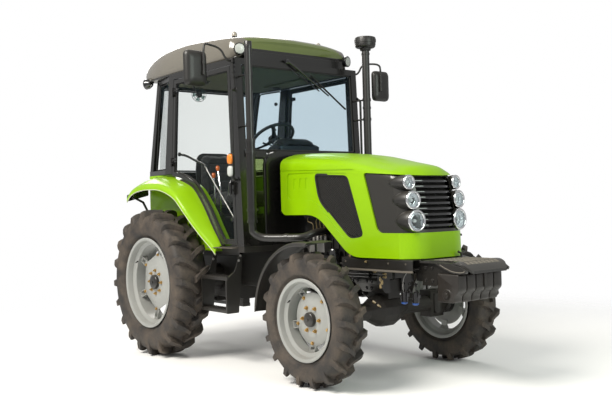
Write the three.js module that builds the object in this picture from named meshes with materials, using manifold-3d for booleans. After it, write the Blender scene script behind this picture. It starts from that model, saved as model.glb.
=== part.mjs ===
// Compact cab tractor: X runs forward from the rear axle line, Y to the left, Z up from the ground, in mm.
import * as THREE from 'three';
import { mergeVertices } from 'three/addons/utils/BufferGeometryUtils.js';
import Module from 'manifold-3d';

const wasm = await Module();
wasm.setup();

// Driving dimensions.
const wheelbase = 1980;
const frontTyre = { radius: 470, width: 215, centre: 700, rim: 290, disc: 185, segments: 20 };
const rearTyre = { radius: 630, width: 310, centre: 790, rim: 388, disc: 260, segments: 20 };
const seatGap = 0.3;
const jointGap = 6;
const sheet = 5;
const glass = 5;
const overall = { front: 2980 };

// Cab: half widths, levels and the pillars' slopes in side view.
const cab = {
  half: 650, rearHalf: 570, underside: 905, floor: 950, sill: 960, belt: 1560, header: 2400, top: 2450,
  frontX: 1100, frontSlope: -0.045, hingeX: 60, hingeSlope: 0.09, rearX: -540, rearSlope: 0.22,
  post: 60, doorThick: 30,
};
// Bonnet: the fixed rear edge, its half width and crown there, and the lower edges.
const bonnet = { rear: 1165, rearHalf: 345, rearCrown: 1690, rearLower: 1190, bandLower: 880, skin: 5 };
const frameRail = { half: 190, height: 85, top: 872, thick: 14, rear: 1500, front: 2560 };

// Colours of the finishes.
const finish = {
  green: [0x8fd400, 0.3, 0.1],
  black: [0x1a1b1b, 0.5, 0.2],
  plastic: [0x202122, 0.65, 0],
  rubber: [0x453d36, 0.85, 0],
  rim: [0xaab0b2, 0.4, 0.4],
  iron: [0x2a2b2b, 0.6, 0.4],
  roof: [0xa39c88, 0.35, 0.2],
  glass: [0xa9c4c8, 0.08, 0],
  seat: [0x242426, 0.8, 0],
};

const tractor = new THREE.Group();

function paint(name) {
  const [color, roughness, metalness] = finish[name];
  return new THREE.MeshStandardMaterial({ color, roughness, metalness });
}

// A closed geometry becomes a solid for joining and cutting.
function solid(geometry) {
  const bare = geometry.clone();
  bare.deleteAttribute('normal');
  bare.deleteAttribute('uv');
  const merged = mergeVertices(bare, 1e-3);
  const index = merged.index.array;
  const kept = [];
  for (let i = 0; i < index.length; i += 3) {
    const [a, b, c] = [index[i], index[i + 1], index[i + 2]];
    if (a !== b && b !== c && c !== a) kept.push(a, b, c);
  }
  const vertProperties = new Float32Array(merged.attributes.position.array);
  return new wasm.Manifold(new wasm.Mesh({ numProp: 3, vertProperties, triVerts: new Uint32Array(kept) }));
}

function join(...solids) {
  return solids.reduce((whole, next) => whole.add(next));
}

function geometryOf(body) {
  const { vertProperties, triVerts } = body.getMesh();
  const geometry = new THREE.BufferGeometry();
  geometry.setAttribute('position', new THREE.BufferAttribute(new Float32Array(vertProperties), 3));
  geometry.setIndex(new THREE.BufferAttribute(new Uint32Array(triVerts), 1));
  geometry.computeVertexNormals();
  return geometry;
}

// The same solid on the other side of the centre plane.
function mirrored(body) {
  const { vertProperties, triVerts } = body.getMesh();
  const points = Float32Array.from(vertProperties, (value, i) => (i % 3 === 1 ? -value : value));
  const faces = new Uint32Array(triVerts.length);
  for (let i = 0; i < triVerts.length; i += 3) {
    faces.set([triVerts[i], triVerts[i + 2], triVerts[i + 1]], i);
  }
  return new wasm.Manifold(new wasm.Mesh({ numProp: 3, vertProperties: points, triVerts: faces }));
}

function add(name, body, colour) {
  const mesh = new THREE.Mesh(geometryOf(body), paint(colour));
  mesh.name = name;
  tractor.add(mesh);
}

function addPair(name, body, colour) {
  add(`${name}_left`, body, colour);
  add(`${name}_right`, mirrored(body), colour);
}

function moved(geometry, x, y, z) {
  return solid(geometry.translate(x, y, z));
}

function block(x0, x1, y0, y1, z0, z1) {
  const geometry = new THREE.BoxGeometry(x1 - x0, y1 - y0, z1 - z0);
  return moved(geometry, (x0 + x1) / 2, (y0 + y1) / 2, (z0 + z1) / 2);
}

// An outline of corners [u, v, corner radius].
function outline(corners, holes = []) {
  const shape = new THREE.Shape();
  tracePath(shape, corners);
  for (const hole of holes) {
    const path = new THREE.Path();
    tracePath(path, hole);
    shape.holes.push(path);
  }
  return shape;
}

function tracePath(path, corners) {
  corners.forEach(([u, v, radius = 0], i) => {
    const corner = new THREE.Vector2(u, v);
    const before = new THREE.Vector2(...corners.at(i - 1).slice(0, 2)).sub(corner);
    const after = new THREE.Vector2(...corners[(i + 1) % corners.length].slice(0, 2)).sub(corner);
    const enter = before.setLength(radius).add(corner);
    const leave = after.setLength(radius).add(corner);
    if (i === 0) path.moveTo(enter.x, enter.y);
    else path.lineTo(enter.x, enter.y);
    if (radius > 0) path.quadraticCurveTo(u, v, leave.x, leave.y);
  });
  path.closePath();
}

function extrude(shape, depth, curveSegments = 2) {
  return new THREE.ExtrudeGeometry(shape, { depth, bevelEnabled: false, steps: 1, curveSegments });
}

const degree = Math.PI / 180;
const basis = (x, y, z) => new THREE.Matrix4().makeBasis(x, y, z);
const unitX = new THREE.Vector3(1, 0, 0);
const unitY = new THREE.Vector3(0, 1, 0);
const unitZ = new THREE.Vector3(0, 0, 1);

// Plates drawn in side view (x, z), front view (y, z) and plan (x, y).
function sidePlate(corners, y0, y1, holes = []) {
  const flat = extrude(outline(corners, holes), y1 - y0);
  return moved(flat.applyMatrix4(basis(unitX, unitZ, unitY.clone().negate())), 0, y1, 0);
}

function frontPlate(corners, x0, x1, holes = []) {
  const geometry = extrude(outline(corners, holes), x1 - x0).applyMatrix4(basis(unitY, unitZ, unitX));
  return moved(geometry, x0, 0, 0);
}

function planPlate(corners, z0, z1, holes = []) {
  return moved(extrude(outline(corners, holes), z1 - z0), 0, 0, z0);
}

// A revolved profile of [radius, y] pairs about a line along Y through (x, z); its first corner lies at the
// given angle in side view, measured from the nose upwards.
function turned(profile, x, z, segments, corner = 90) {
  const points = profile.map(([radius, y]) => new THREE.Vector2(radius, y));
  points.push(points[0].clone());
  return moved(new THREE.LatheGeometry(points, segments, (90 - corner) * degree), x, 0, z);
}

// The same profile turned about a line along X that points backwards from x.
function turnedX(profile, x, y, z, segments) {
  const points = profile.map(([radius, along]) => new THREE.Vector2(radius, along));
  points.push(points[0].clone());
  return moved(new THREE.LatheGeometry(points, segments).rotateZ(Math.PI / 2), x, y, z);
}

// A round bar or tapered bar between two points.
function bar(from, to, radius, endRadius = radius, sides = 10) {
  const start = new THREE.Vector3(...from);
  const run = new THREE.Vector3(...to).sub(start);
  const geometry = new THREE.CylinderGeometry(endRadius, radius, run.length(), sides);
  const turn = new THREE.Quaternion().setFromUnitVectors(unitY, run.clone().normalize());
  geometry.applyQuaternion(turn);
  const middle = run.multiplyScalar(0.5).add(start);
  return moved(geometry, middle.x, middle.y, middle.z);
}

// A round bar through points, with a fillet of the given bend radius at each knee.
function bentBar(points, radius, bend, sides = 8) {
  const corners = points.map((point) => new THREE.Vector3(...point));
  const line = [corners[0]];
  for (let i = 1; i < corners.length - 1; i++) {
    const before = corners[i - 1].clone().sub(corners[i]).setLength(bend).add(corners[i]);
    const after = corners[i + 1].clone().sub(corners[i]).setLength(bend).add(corners[i]);
    const knee = new THREE.QuadraticBezierCurve3(before, corners[i], after);
    line.push(...knee.getPoints(3));
  }
  line.push(corners.at(-1));
  const at = (i) => line[Math.min(Math.max(i, 0), line.length - 1)];
  const heading = (i) => at(i + 1).clone().sub(at(i - 1)).normalize();
  const across = Math.abs(heading(0).y) > 0.9 ? unitX : unitY;
  let spoke = new THREE.Vector3().crossVectors(heading(0), across).normalize();
  const rings = line.map((point, i) => {
    const ahead = heading(i);
    spoke = spoke.clone().addScaledVector(ahead, -spoke.dot(ahead)).normalize();
    const other = new THREE.Vector3().crossVectors(ahead, spoke);
    return Array.from({ length: sides }, (_, k) => {
      const angle = k / sides * Math.PI * 2;
      const rim = spoke.clone().multiplyScalar(Math.cos(angle)).addScaledVector(other, Math.sin(angle));
      return rim.multiplyScalar(radius).add(point).toArray();
    });
  });
  return skin(rings, fanTriangles(sides), fanTriangles(sides));
}

function fanTriangles(count) {
  return Array.from({ length: count - 2 }, (_, i) => [0, i + 1, i + 2]);
}

// A skin through closed sections of equally many points [x, y, z], capped at both ends.
function loft(sections) {
  return skin(sections, capTriangles(sections[0]), capTriangles(sections.at(-1)));
}

function skin(sections, firstCap, lastCap) {
  const count = sections[0].length;
  const index = [];
  for (let s = 0; s < sections.length - 1; s++) {
    for (let i = 0; i < count; i++) {
      const a = s * count + i;
      const b = s * count + ((i + 1) % count);
      index.push(a, b, a + count, b, b + count, a + count);
    }
  }
  const last = (sections.length - 1) * count;
  for (const [a, b, c] of firstCap) index.push(a, c, b);
  for (const [a, b, c] of lastCap) index.push(last + a, last + b, last + c);
  const geometry = new THREE.BufferGeometry();
  geometry.setAttribute('position', new THREE.Float32BufferAttribute(sections.flat(2), 3));
  geometry.setIndex(index);
  return facingOut(geometry);
}

// The end cap's triangles, wound the same way as the section itself.
function capTriangles(section) {
  const flat = section.map(([, y, z]) => new THREE.Vector2(y, z));
  const faces = THREE.ShapeUtils.triangulateShape(flat, []);
  const area = (ring) => THREE.ShapeUtils.area(ring);
  const whole = faces.reduce((sum, face) => sum + area(face.map((i) => flat[i])), 0);
  return whole * area(flat) > 0 ? faces : faces.map(([a, b, c]) => [a, c, b]);
}

function facingOut(geometry) {
  const body = solid(geometry);
  if (body.volume() > 0) return body;
  const index = geometry.index.array;
  for (let i = 0; i < index.length; i += 3) [index[i + 1], index[i + 2]] = [index[i + 2], index[i + 1]];
  return solid(geometry);
}

// ---------------------------------------------------------------- wheels
// The bead rests on the rim's tapered seat, inside its flange; the wall bulges out only above the flange.
const bead = { base: 22, drop: 34, seat: 0.2, flange: 0.4, edge: 0.36, lip: 5, wall: 8, rise: 4, clear: 2 };
// Discs: how far out they stand, the corners of their outline, and the brackets with the angle of the first.
const frontDisc = { y: frontTyre.centre + 5, corners: 20, brackets: 5, first: 51, hub: 52 };
const rearDisc = { y: rearTyre.centre + 35, corners: 6, brackets: 6, first: 24, hub: 62 };
const bracket = { lap: 40, deep: 34, wide: 60, back: 24, intoWell: 4 };
const hubCap = { shoulder: 34, rise: 46 };

function tyreRing({ radius, width, centre, rim }) {
  const half = width / 2;
  const edge = bead.edge * width;
  const slope = bead.drop * (bead.flange - bead.edge) / (bead.flange - bead.seat);
  const inner = rim - bead.base - slope + seatGap + 0.1;
  const inFlange = bead.flange * width - bead.clear;
  const wall = Math.max(radius * 0.78, rim + bead.rise * 2);
  const right = [[inner, edge], [rim + bead.rise, inFlange], [wall, half], [radius - 30, half * 0.94],
    [radius, half * 0.7]];
  const outer = right.map(([r, y]) => [r, centre + y]);
  const inside = right.map(([r, y]) => [r, centre - y]);
  return [...inside, ...outer.reverse(), [rim + 25, centre]];
}

// Rim channel, dished disc and the brackets that carry it, with the hub cap.
function wheelBody(tyre, { y, corners, brackets, first, hub }, x) {
  const { width, centre, rim, disc, segments, radius: z } = tyre;
  const base = rim - bead.base;
  const flange = bead.flange * width;
  const well = bead.seat * width;
  const floor = base - bead.drop;
  const half = [[rim, flange + bead.lip], [rim, flange], [base, flange], [floor, well]];
  const under = [[floor - bead.wall, well], [base - bead.wall, flange + bead.lip]];
  const side = (list, sign) => list.map(([r, along]) => [r, centre + sign * along]);
  const above = [...side(half, -1), ...side(half, 1).reverse()];
  const section = [...above, ...side(under, 1).reverse(), ...side(under, -1)];
  const rimRing = turned(section, x, z, segments);
  const plate = turned([[0, y - 6], [disc - 40, y - 6], [disc, y - 22], [disc, y - 12], [disc - 36, y + 6],
    [0, y + 6]], x, z, corners, first);
  const cap = turned([[0, y], [hub, y], [hub, y + hubCap.shoulder], [hub * 0.8, y + hubCap.rise],
    [0, y + hubCap.rise]], x, z, 12);
  const parts = [rimRing, plate, cap];
  const from = disc - bracket.lap;
  const to = floor - bead.wall + bracket.intoWell;
  for (let i = 0; i < brackets; i++) {
    const angle = (first + i / brackets * 360) * degree;
    const lug = new THREE.BoxGeometry(to - from, bracket.deep, bracket.wide);
    lug.translate((to + from) / 2, 0, 0).rotateY(-angle);
    parts.push(moved(lug, x, y - bracket.back, z));
  }
  return join(...parts);
}

addPair('front_tyre', turned(tyreRing(frontTyre), wheelbase, frontTyre.radius, frontTyre.segments), 'rubber');
addPair('rear_tyre', turned(tyreRing(rearTyre), 0, rearTyre.radius, rearTyre.segments), 'rubber');
addPair('front_wheel', wheelBody(frontTyre, frontDisc, wheelbase), 'rim');
addPair('rear_wheel', wheelBody(rearTyre, rearDisc, 0), 'rim');

// ---------------------------------------------------------------- front axle
// The kingpin reaches equally far above and below the axle line, which is at the tyre's radius.
const kingpin = { y: 575, radius: 68, low: frontTyre.radius - 78, high: frontTyre.radius + 78, arm: 150 };
const tieRod = { x: wheelbase - kingpin.arm, z: kingpin.low + 60, radius: 13, barrel: 34, barrelHalf: 190 };
const yoke = { thick: 24, half: 56, reach: 44 };
const trunnion = { half: 110, width: 60, under: 90, saddle: 20 };

function frontAxle() {
  const z = frontTyre.radius;
  const beam = turned([
    [0, -470], [64, -470], [58, -300], [66, -190], [118, -90], [128, -30], [128, 40], [100, 110],
    [62, 190], [58, 300], [64, 470], [0, 470],
  ], wheelbase, z, 14);
  const parts = [beam];
  for (const side of [-1, 1]) {
    const inner = side * 452;
    const outer = side * (kingpin.y + yoke.reach);
    const [y0, y1] = [Math.min(inner, outer), Math.max(inner, outer)];
    const [round0, round1] = side > 0 ? [8, 40] : [40, 8];
    const plan = [[wheelbase - yoke.half, y0, round0], [wheelbase + yoke.half, y0, round0],
      [wheelbase + yoke.half, y1, round1], [wheelbase - yoke.half, y1, round1]];
    const web = Math.min(side * 452, side * 486);
    parts.push(planPlate(plan, kingpin.low - seatGap - yoke.thick, kingpin.low - seatGap));
    parts.push(planPlate(plan, kingpin.high + seatGap, kingpin.high + seatGap + yoke.thick));
    parts.push(block(wheelbase - yoke.half, wheelbase + yoke.half, web, web + 34,
      kingpin.low - yoke.thick, kingpin.high + yoke.thick));
  }
  // Pivot trunnion above the beam, held between the frame rails.
  parts.push(block(wheelbase - trunnion.half, wheelbase + trunnion.half, -trunnion.width, trunnion.width, z + 90,
    frameRail.top - frameRail.height - trunnion.under));
  // Steering cylinder barrel on two lugs behind the beam.
  const { barrel: tube, barrelHalf: reach } = tieRod;
  const bore = tieRod.radius + jointGap * 0.1;
  const barrel = turned([[bore, -reach], [tube, -reach], [tube, reach], [bore, reach]], tieRod.x, tieRod.z, 14);
  parts.push(barrel);
  for (const side of [-1, 1]) {
    const y = side * 120;
    parts.push(block(tieRod.x + tube - 12, wheelbase - 40, y - 16, y + 16, tieRod.z - 14, tieRod.z + 14));
  }
  return join(...parts);
}

// Final drive case that turns about the kingpin, with its steering arm and wheel spindle.
function knuckle() {
  const z = frontTyre.radius;
  const upright = new THREE.CylinderGeometry(kingpin.radius, kingpin.radius, kingpin.high - kingpin.low, 20);
  const caseBody = moved(upright.rotateX(Math.PI / 2), wheelbase, kingpin.y, (kingpin.high + kingpin.low) / 2);
  const yokeEdge = kingpin.y + yoke.half + jointGap;
  const flange = frontDisc.y - 6 - seatGap;
  const neck = (kingpin.high - kingpin.low) / 2 - jointGap;
  const spindle = turned([[0, kingpin.y], [neck, kingpin.y], [neck, yokeEdge], [92, yokeEdge + 14],
    [92, flange], [0, flange]], wheelbase, z, 16);
  const armTop = kingpin.low + 24;
  const arm = planPlate([
    [wheelbase + 20, kingpin.y - 50, 10], [wheelbase + 20, kingpin.y + 50, 10],
    [tieRod.x - 26, kingpin.y + 26, 16], [tieRod.x - 26, kingpin.y - 26, 16],
  ], kingpin.low, armTop);
  return join(caseBody, spindle, arm);
}

// Sliding rod with a ball stud over each steering arm.
function tieRodBody() {
  const reach = kingpin.y + 16;
  const studBottom = kingpin.low + 24 + 0.5;
  const rod = bar([tieRod.x, -reach, tieRod.z], [tieRod.x, reach, tieRod.z], tieRod.radius, tieRod.radius, 16);
  const studs = [-1, 1].map((side) => bar([tieRod.x, side * kingpin.y, studBottom],
    [tieRod.x, side * kingpin.y, tieRod.z], 11));
  return join(rod, ...studs);
}

// Curved mudguard over the rear upper quarter of the steered tyre, on a bent stay from the knuckle.
const mudguard = { radius: frontTyre.radius + 75, inner: kingpin.y - 14, outer: frontTyre.centre + 118,
  thick: 4, lip: 22, from: 78, to: 178, stay: 9 };

function frontFender() {
  const { radius, inner, outer, thick, lip, from, to, stay } = mudguard;
  const steps = 9;
  const angles = Array.from({ length: steps + 1 }, (_, i) => (from + (to - from) * i / steps) * degree);
  const arc = (r, list) => list.map((a) => [wheelbase + r * Math.cos(a), frontTyre.radius + r * Math.sin(a)]);
  const back = [...angles].reverse();
  const top = sidePlate([...arc(radius, angles), ...arc(radius - thick, back)], inner, outer);
  const edge = sidePlate([...arc(radius, angles), ...arc(radius - lip, back)], outer - thick, outer);
  const stayX = wheelbase - kingpin.radius - 24;
  const stayTop = frontTyre.radius + Math.sqrt(radius ** 2 - (wheelbase - stayX) ** 2) - thick;
  const arm = bentBar([[wheelbase - kingpin.radius - seatGap, kingpin.y, kingpin.high - 30],
    [stayX, kingpin.y, kingpin.high - 30], [stayX, kingpin.y, stayTop]], stay, 14);
  return join(top, edge, arm);
}

// ---------------------------------------------------------------- body castings and rear axle
const engine = { rear: 1300, front: 1835, half: 170, low: 700, top: 1330 };

function engineBlock() {
  const { rear, front, half, low, top } = engine;
  const cylinders = sidePlate([[rear, low], [front, low], [front, top - 60, 30], [front - 60, top, 20],
    [rear + 20, top, 20], [rear, top - 80, 20]], -half, half);
  const sump = frontPlate([[-120, 560, 40], [120, 560, 40], [140, low + 2, 8], [-140, low + 2, 8]],
    rear + 40, front - 60);
  return join(cylinders, sump);
}

// Radiator with its shroud, on the front frame.
const radiator = { rear: 2010, front: 2110, half: 215, low: frameRail.top + seatGap, top: 1400 };

function radiatorBody() {
  const { rear, front, half, low, top } = radiator;
  const core = block(rear + 30, front, -half, half, low, top);
  const shroud = turned([[0, -5], [175, -5], [175, 5], [0, 5]], 0, 0, 20).rotate([0, 0, 90]);
  return join(core, shroud.translate([rear + 26, 0, (low + top) / 2]));
}

// Clutch housing, gearbox and rear casing in a row, with the axle trumpets and the brackets for the linkage.
const casing = { top: cab.underside - seatGap, rear: -240, half: 190, low: 440 };
const lift = { x: -150, z: 905, shaft: 30, armX: -430, armZ: 880, y: 235, arm: 26 };
const lower = { x: -90, y: 250, z: 415, endX: -860, endY: 330, endZ: 470, pinX: -480, bar: 20, eye: 34 };
const upper = { x: -285, z: 830, endX: -780, endZ: 800, eye: 28, half: 22 };

function transmission() {
  const { top, rear, half, low } = casing;
  const bell = frontPlate([[-210, 700, 60], [-150, 560, 60], [150, 560, 60], [210, 700, 60], [210, 960, 60],
    [-210, 960, 60]], 1120, engine.rear - seatGap);
  const gearbox = frontPlate([[-150, 560, 40], [150, 560, 40], [150, top, 40], [-150, top, 40]], 330, 1120);
  const rearCase = frontPlate([[-half, low, 60], [half, low, 60], [half, 880, 60], [-half, 880, 60]], rear, 330);
  const trumpets = turned([[0, -rearDisc.y + 30], [118, -rearDisc.y + 30], [118, -rearDisc.y + 52],
    [92, -rearDisc.y + 60], [84, -420], [125, -215], [125, 215], [84, 420],
    [92, rearDisc.y - 60], [118, rearDisc.y - 52], [118, rearDisc.y - 30], [0, rearDisc.y - 30]],
  0, rearTyre.radius, 16);
  const stubs = [-1, 1].map((side) => bar([0, side * (rearDisc.y - 40), rearTyre.radius],
    [0, side * (rearDisc.y - 6 - seatGap), rearTyre.radius], 70, 70, 14));
  const liftCase = frontPlate([[-half + 30, 860], [half - 30, 860], [half - 30, 950, 30], [-half + 30, 950, 30]],
    lift.x - 60, lift.x + 90);
  const shaftBore = bar([lift.x, -half, lift.z], [lift.x, half, lift.z], lift.shaft + 0.5, lift.shaft + 0.5, 16);
  const clevis = [-1, 1].map((side) => sidePlate([[rear + 10, upper.z - 40, 4], [rear + 10, upper.z + 40, 4],
    [upper.x - 20, upper.z + 22, 14], [upper.x - 20, upper.z - 22, 14]],
  side * (upper.half + seatGap + 6) - 6, side * (upper.half + seatGap + 6) + 6));
  const crossShaft = bar([lower.x, 20 + seatGap - lower.y, lower.z],
    [lower.x, lower.y - 20 - seatGap, lower.z], 18, 18, 12);
  const hanger = block(lower.x - 30, lower.x + 30, -half + 30, half - 30, lower.z - 18, low + 20);
  const powerTakeOff = turnedX([[0, 0], [62, 0], [62, 20], [30, 24], [22, 24], [22, 90], [0, 90]],
    rear + 2, 0, 600, 12);
  return join(bell, gearbox, rearCase, trumpets, ...stubs, liftCase, ...clevis, crossShaft, hanger, powerTakeOff)
    .subtract(shaftBore);
}

function frontFrame() {
  const { half, height, top, thick, rear, front } = frameRail;
  const rails = [-1, 1].map((side) => {
    const y = side * half;
    return sidePlate([[rear, top - height, 6], [front, top - height, 6], [front, top, 6], [rear, top, 6]],
      y - thick / 2, y + thick / 2);
  });
  const nose = block(front - 60, front, -half, half, top - height - 60, top);
  const { width, saddle: reach } = trunnion;
  const [x0, x1] = [wheelbase - trunnion.half - reach, wheelbase + trunnion.half + reach];
  const foot = 605;
  const saddle = frontPlate([[-half, top - height, 4], [-width - seatGap, top - height, 4],
    [-width - seatGap, foot, 4], [-110, foot, 20], [-half, 700, 30]], x0, x1);
  const bolster = block(x0, x1, -half, half, top - height - 80, top - height + 10);
  const pads = [1560, 1740].flatMap((x) => [-1, 1].map((side) => {
    const [y0, y1] = side > 0 ? [engine.half + seatGap, half] : [-half, -engine.half - seatGap];
    return block(x, x + 70, y0, y1, top - height + 10, top - 10);
  }));
  return join(...rails, nose, saddle, mirrored(saddle), bolster, ...pads);
}

add('front_axle', frontAxle(), 'iron');
addPair('knuckle', knuckle(), 'iron');
add('tie_rod', tieRodBody(), 'iron');
addPair('front_fender', frontFender(), 'plastic');
add('engine_block', engineBlock(), 'iron');
add('radiator', radiatorBody(), 'black');
add('transmission', transmission(), 'iron');
add('front_frame', frontFrame(), 'black');

// ---------------------------------------------------------------- cab shell
const frontAt = (z) => cab.frontX + cab.frontSlope * (z - 1000);
const hingeAt = (z) => cab.hingeX + cab.hingeSlope * (z - 2000);
const rearAt = (z) => cab.rearX + cab.rearSlope * Math.max(0, z - cab.belt);
const inside = cab.half - cab.post;
const wheelArch = { inner: 598, outer: 604 };
// Beside the seat the wheel arch is boxed in: its ledge starts here and is this thick.
const ledge = { inner: 540, rear: -476, sheet: 4 };
const beltRail = { low: cab.belt + 14, high: cab.belt + 55 };
const bFoot = cab.belt + 12;

// Upper edge of the rear fender beside the cab and its outer lip: [x, z at the cab, lip x, lip z, lip y].
const fenderStations = [
  [-480, 1490, -470, 1375, 850],
  [-400, 1545, -395, 1430, 850],
  [-250, 1562, -250, 1468, 850],
  [-50, 1552, -50, 1476, 850],
  [150, 1516, 150, 1462, 850],
  [356, 1444, 350, 1395, 846],
  [480, 1335, 470, 1290, 832],
  [577, 1225, 560, 1175, 800],
  [660, 1110, 640, 1070, 760],
  [733, 1016, 715, 985, 725],
  [775, 950, 765, 925, 705],
];

// Each station is a thin bent strip: along the cab, out to the lip and a short turn down.
function fenderShell() {
  const lipDrop = 28;
  const sections = fenderStations.map(([x, z, lipX, lipZ, lipY]) => {
    const slope = { x: (lipX - x) / (lipY - wheelArch.outer), z: (lipZ - z) / (lipY - wheelArch.outer) };
    const at = (y, drop) => [x + slope.x * (y - wheelArch.outer), y, z + slope.z * (y - wheelArch.outer) - drop];
    const bulge = 16;
    const mid = (wheelArch.inner + lipY) / 2;
    return [
      at(wheelArch.inner, 0), at(mid, -bulge), at(lipY - 14, -4), at(lipY, 12), at(lipY, 12 + lipDrop),
      at(lipY - sheet, 12 + lipDrop), at(lipY - sheet, 14), at(lipY - 17, sheet), at(mid, sheet - bulge),
      at(wheelArch.inner, sheet + 1),
    ];
  });
  return loft(sections);
}

function rearFender() {
  const top = fenderStations.map(([x, z]) => [x, z - 2]);
  const [rearEnd, frontEnd] = [fenderStations[0][0], fenderStations.at(-1)[0]];
  const wall = sidePlate([[rearEnd, 1000], ...top, [frontEnd, cab.underside], [-200, cab.underside]],
    wheelArch.inner, wheelArch.outer);
  // The wall goes on up to the belt rail behind the door.
  const under = fenderStations.filter(([x]) => x < 0).map(([x, z]) => [x, z - 4]).reverse();
  const high = bFoot - seatGap;
  const upper = sidePlate([...under, [rearEnd, high], [0, high]], wheelArch.inner, wheelArch.outer);
  // A flange that carries the foot of the B-post.
  const [postRearEnd, postFrontEnd] = [bRear(bFoot), hingeAt(bFoot) - 12];
  const [flangeIn, flangeOut] = [wheelArch.inner, cab.half - 2];
  const flange = planPlate([[postRearEnd, flangeIn], [postFrontEnd, flangeIn], [postFrontEnd, flangeOut],
    [postRearEnd, flangeOut]], high - ledge.sheet, high);
  return join(fenderShell(), wall, upper, flange, archLedge());
}

// The box over the wheel inside the cab: a top that follows the fender and a side down to the floor.
function archLedge() {
  const { inner, rear, sheet: thick } = ledge;
  const over = fenderStations.map(([x, z]) => [Math.max(x, rear), z - 2]);
  const floor = [[platform.riserX, cab.floor], [platform.riserX, platform.seatTop], [rear, platform.seatTop]]
    .map(([x, z]) => [x + seatGap, z + seatGap]);
  const end = over.at(-1);
  const crest = over.slice(0, -1);
  const side = [...crest, [end[0] - thick, end[1] + thick], ...floor];
  const top = [...crest, ...[...crest].reverse().map(([x, z]) => [x - thick * 0.6, z - thick])];
  return join(sidePlate(side, inner, inner + thick), sidePlate(top, inner, wheelArch.outer));
}

// Floor platform, stepped up behind over the lift housing.
const platform = { low: cab.underside, front: frontAt(cab.floor), riserX: 330, seatTop: 1180, wall: 40 };

function cabFloor() {
  const y = wheelArch.inner - seatGap;
  const { low, front, riserX, seatTop, wall } = platform;
  const profile = [[riserX - wall, low], [front, low], [front, cab.floor], [riserX, cab.floor],
    [riserX - 10, seatTop, 20], [cab.rearX, seatTop], [cab.rearX, seatTop - wall],
    [riserX - wall - 10, seatTop - wall]];
  const pan = sidePlate(profile, -y, y);
  const sills = block(790, front, -cab.half, cab.half, low, cab.floor);
  return join(pan, sills);
}

// One welded frame: pillars, roof rails, cowl arch with the firewall, belt rails and rear wall.
const cowl = { half: bonnet.rearHalf + 55, top: bonnet.rearCrown + 22, rim: 30, rear: frontAt(1500) - 45,
  front: frontAt(1500) + 5, glassLow: 1010, glassHigh: 1660 };
// The bonnet turns about a line inside its rear edge; its ears stand outside the lugs on the firewall.
const bonnetHinge = { x: 1192, z: 1628, ear: 132 };
const bRear = (z) => hingeAt(z) - 130 + 40 * (z - cab.belt) / (cab.top - cab.belt);
const cFront = (z) => rearAt(z) + 55;
const postRear = (z) => frontAt(z) - 90 + 20 * (z - cab.floor) / (cab.top - cab.floor);

function cabPosts() {
  const { half, post, header, top, floor, belt } = cab;
  const { rearHalf } = cab;
  const aPost = sidePlate([[postRear(floor), floor + seatGap], [frontAt(floor), floor + seatGap],
    [frontAt(top), top], [postRear(top), top]], half - post, half);
  const bPost = sidePlate([[bRear(bFoot), bFoot], [hingeAt(bFoot) - 12, bFoot], [hingeAt(top) - 12, top],
    [bRear(top), top]], half - 50, half);
  const foot = platform.seatTop + seatGap;
  const behind = [top, belt, foot].map((z) => [rearAt(z), z]);
  const before = [foot, belt, top].map((z) => [cFront(z), z]);
  const cPost = sidePlate([...before, ...behind], rearHalf - 50, rearHalf);
  const roofRail = sidePlate([[bRear(header) + 30, header], [frontAt(header) - 20, header],
    [frontAt(top) - 20, top], [bRear(top) + 30, top]], half - post, half);
  const quarterRail = planPlate([[rearAt(top) + 2, rearHalf - 50], [bRear(top) + 40, half - 55],
    [bRear(top) + 40, half - 5], [rearAt(top) + 2, rearHalf]], header, top);
  const sideRail = planPlate([[rearAt(belt) + 2, rearHalf - 50], [rearAt(belt) + 40, rearHalf - 50],
    [bRear(belt) + 40, half - 60], [bRear(belt) + 40, half - 10], [rearAt(belt) + 2, rearHalf - 2]],
  beltRail.low, beltRail.high);
  const mirrorPad = block(frontAt(2420) - 56, frontAt(2420) - 16, half - 10, half, 2396, 2450);
  return [aPost, bPost, cPost, roofRail, quarterRail, sideRail, mirrorPad];
}

function cabFrame() {
  const { half, post, header, top, floor, belt, rearHalf } = cab;
  const whole = [];
  for (const part of cabPosts()) whole.push(part, mirrored(part));
  const rail = (y0, y1, z0, z1) => block(cowl.rear, cowl.front, y0, y1, z0, z1);
  const archCorners = [[-cowl.half, floor + seatGap], [cowl.half, floor + seatGap], [cowl.half, cowl.top, 110],
    [-cowl.half, cowl.top, 110]];
  whole.push(frontPlate(archCorners, cowl.rear, cowl.front, [inset(archCorners, cowl.rim)]));
  whole.push(frontPlate(inset(archCorners, cowl.rim - 2), cowl.front - 8, cowl.front - 2));
  for (const side of [-1, 1]) {
    const [y0, y1] = side > 0 ? [cowl.half - 5, half - post + 5] : [post - half - 5, 5 - cowl.half];
    whole.push(rail(y0, y1, floor + seatGap, cowl.glassLow));
    whole.push(rail(y0, y1, cowl.glassHigh, cowl.top));
  }
  for (const y of [bonnetHinge.ear - 12, -bonnetHinge.ear]) {
    const { x, z } = bonnetHinge;
    whole.push(sidePlate([[cowl.front - 6, z - 70], [x + 14, z - 14, 10], [x + 14, z + 12, 10],
      [x - 12, z + 12, 6], [cowl.front - 6, z - 30]], y, y + 12));
  }
  whole.push(block(frontAt(header) - 50, frontAt(top), -half + 5, half - 5, header, top));
  const [rear, rearSide] = [rearAt(belt), rearHalf - 10];
  whole.push(block(rear, rear + 6, -rearSide, rearSide, platform.seatTop + seatGap, beltRail.high));
  whole.push(block(rear, rear + 40, -rearSide, rearSide, beltRail.low, beltRail.high));
  whole.push(block(rearAt(top), rearAt(top) + 48, 48 - rearHalf, rearHalf - 48, header - 20, top));
  return join(...whole);
}

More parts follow.
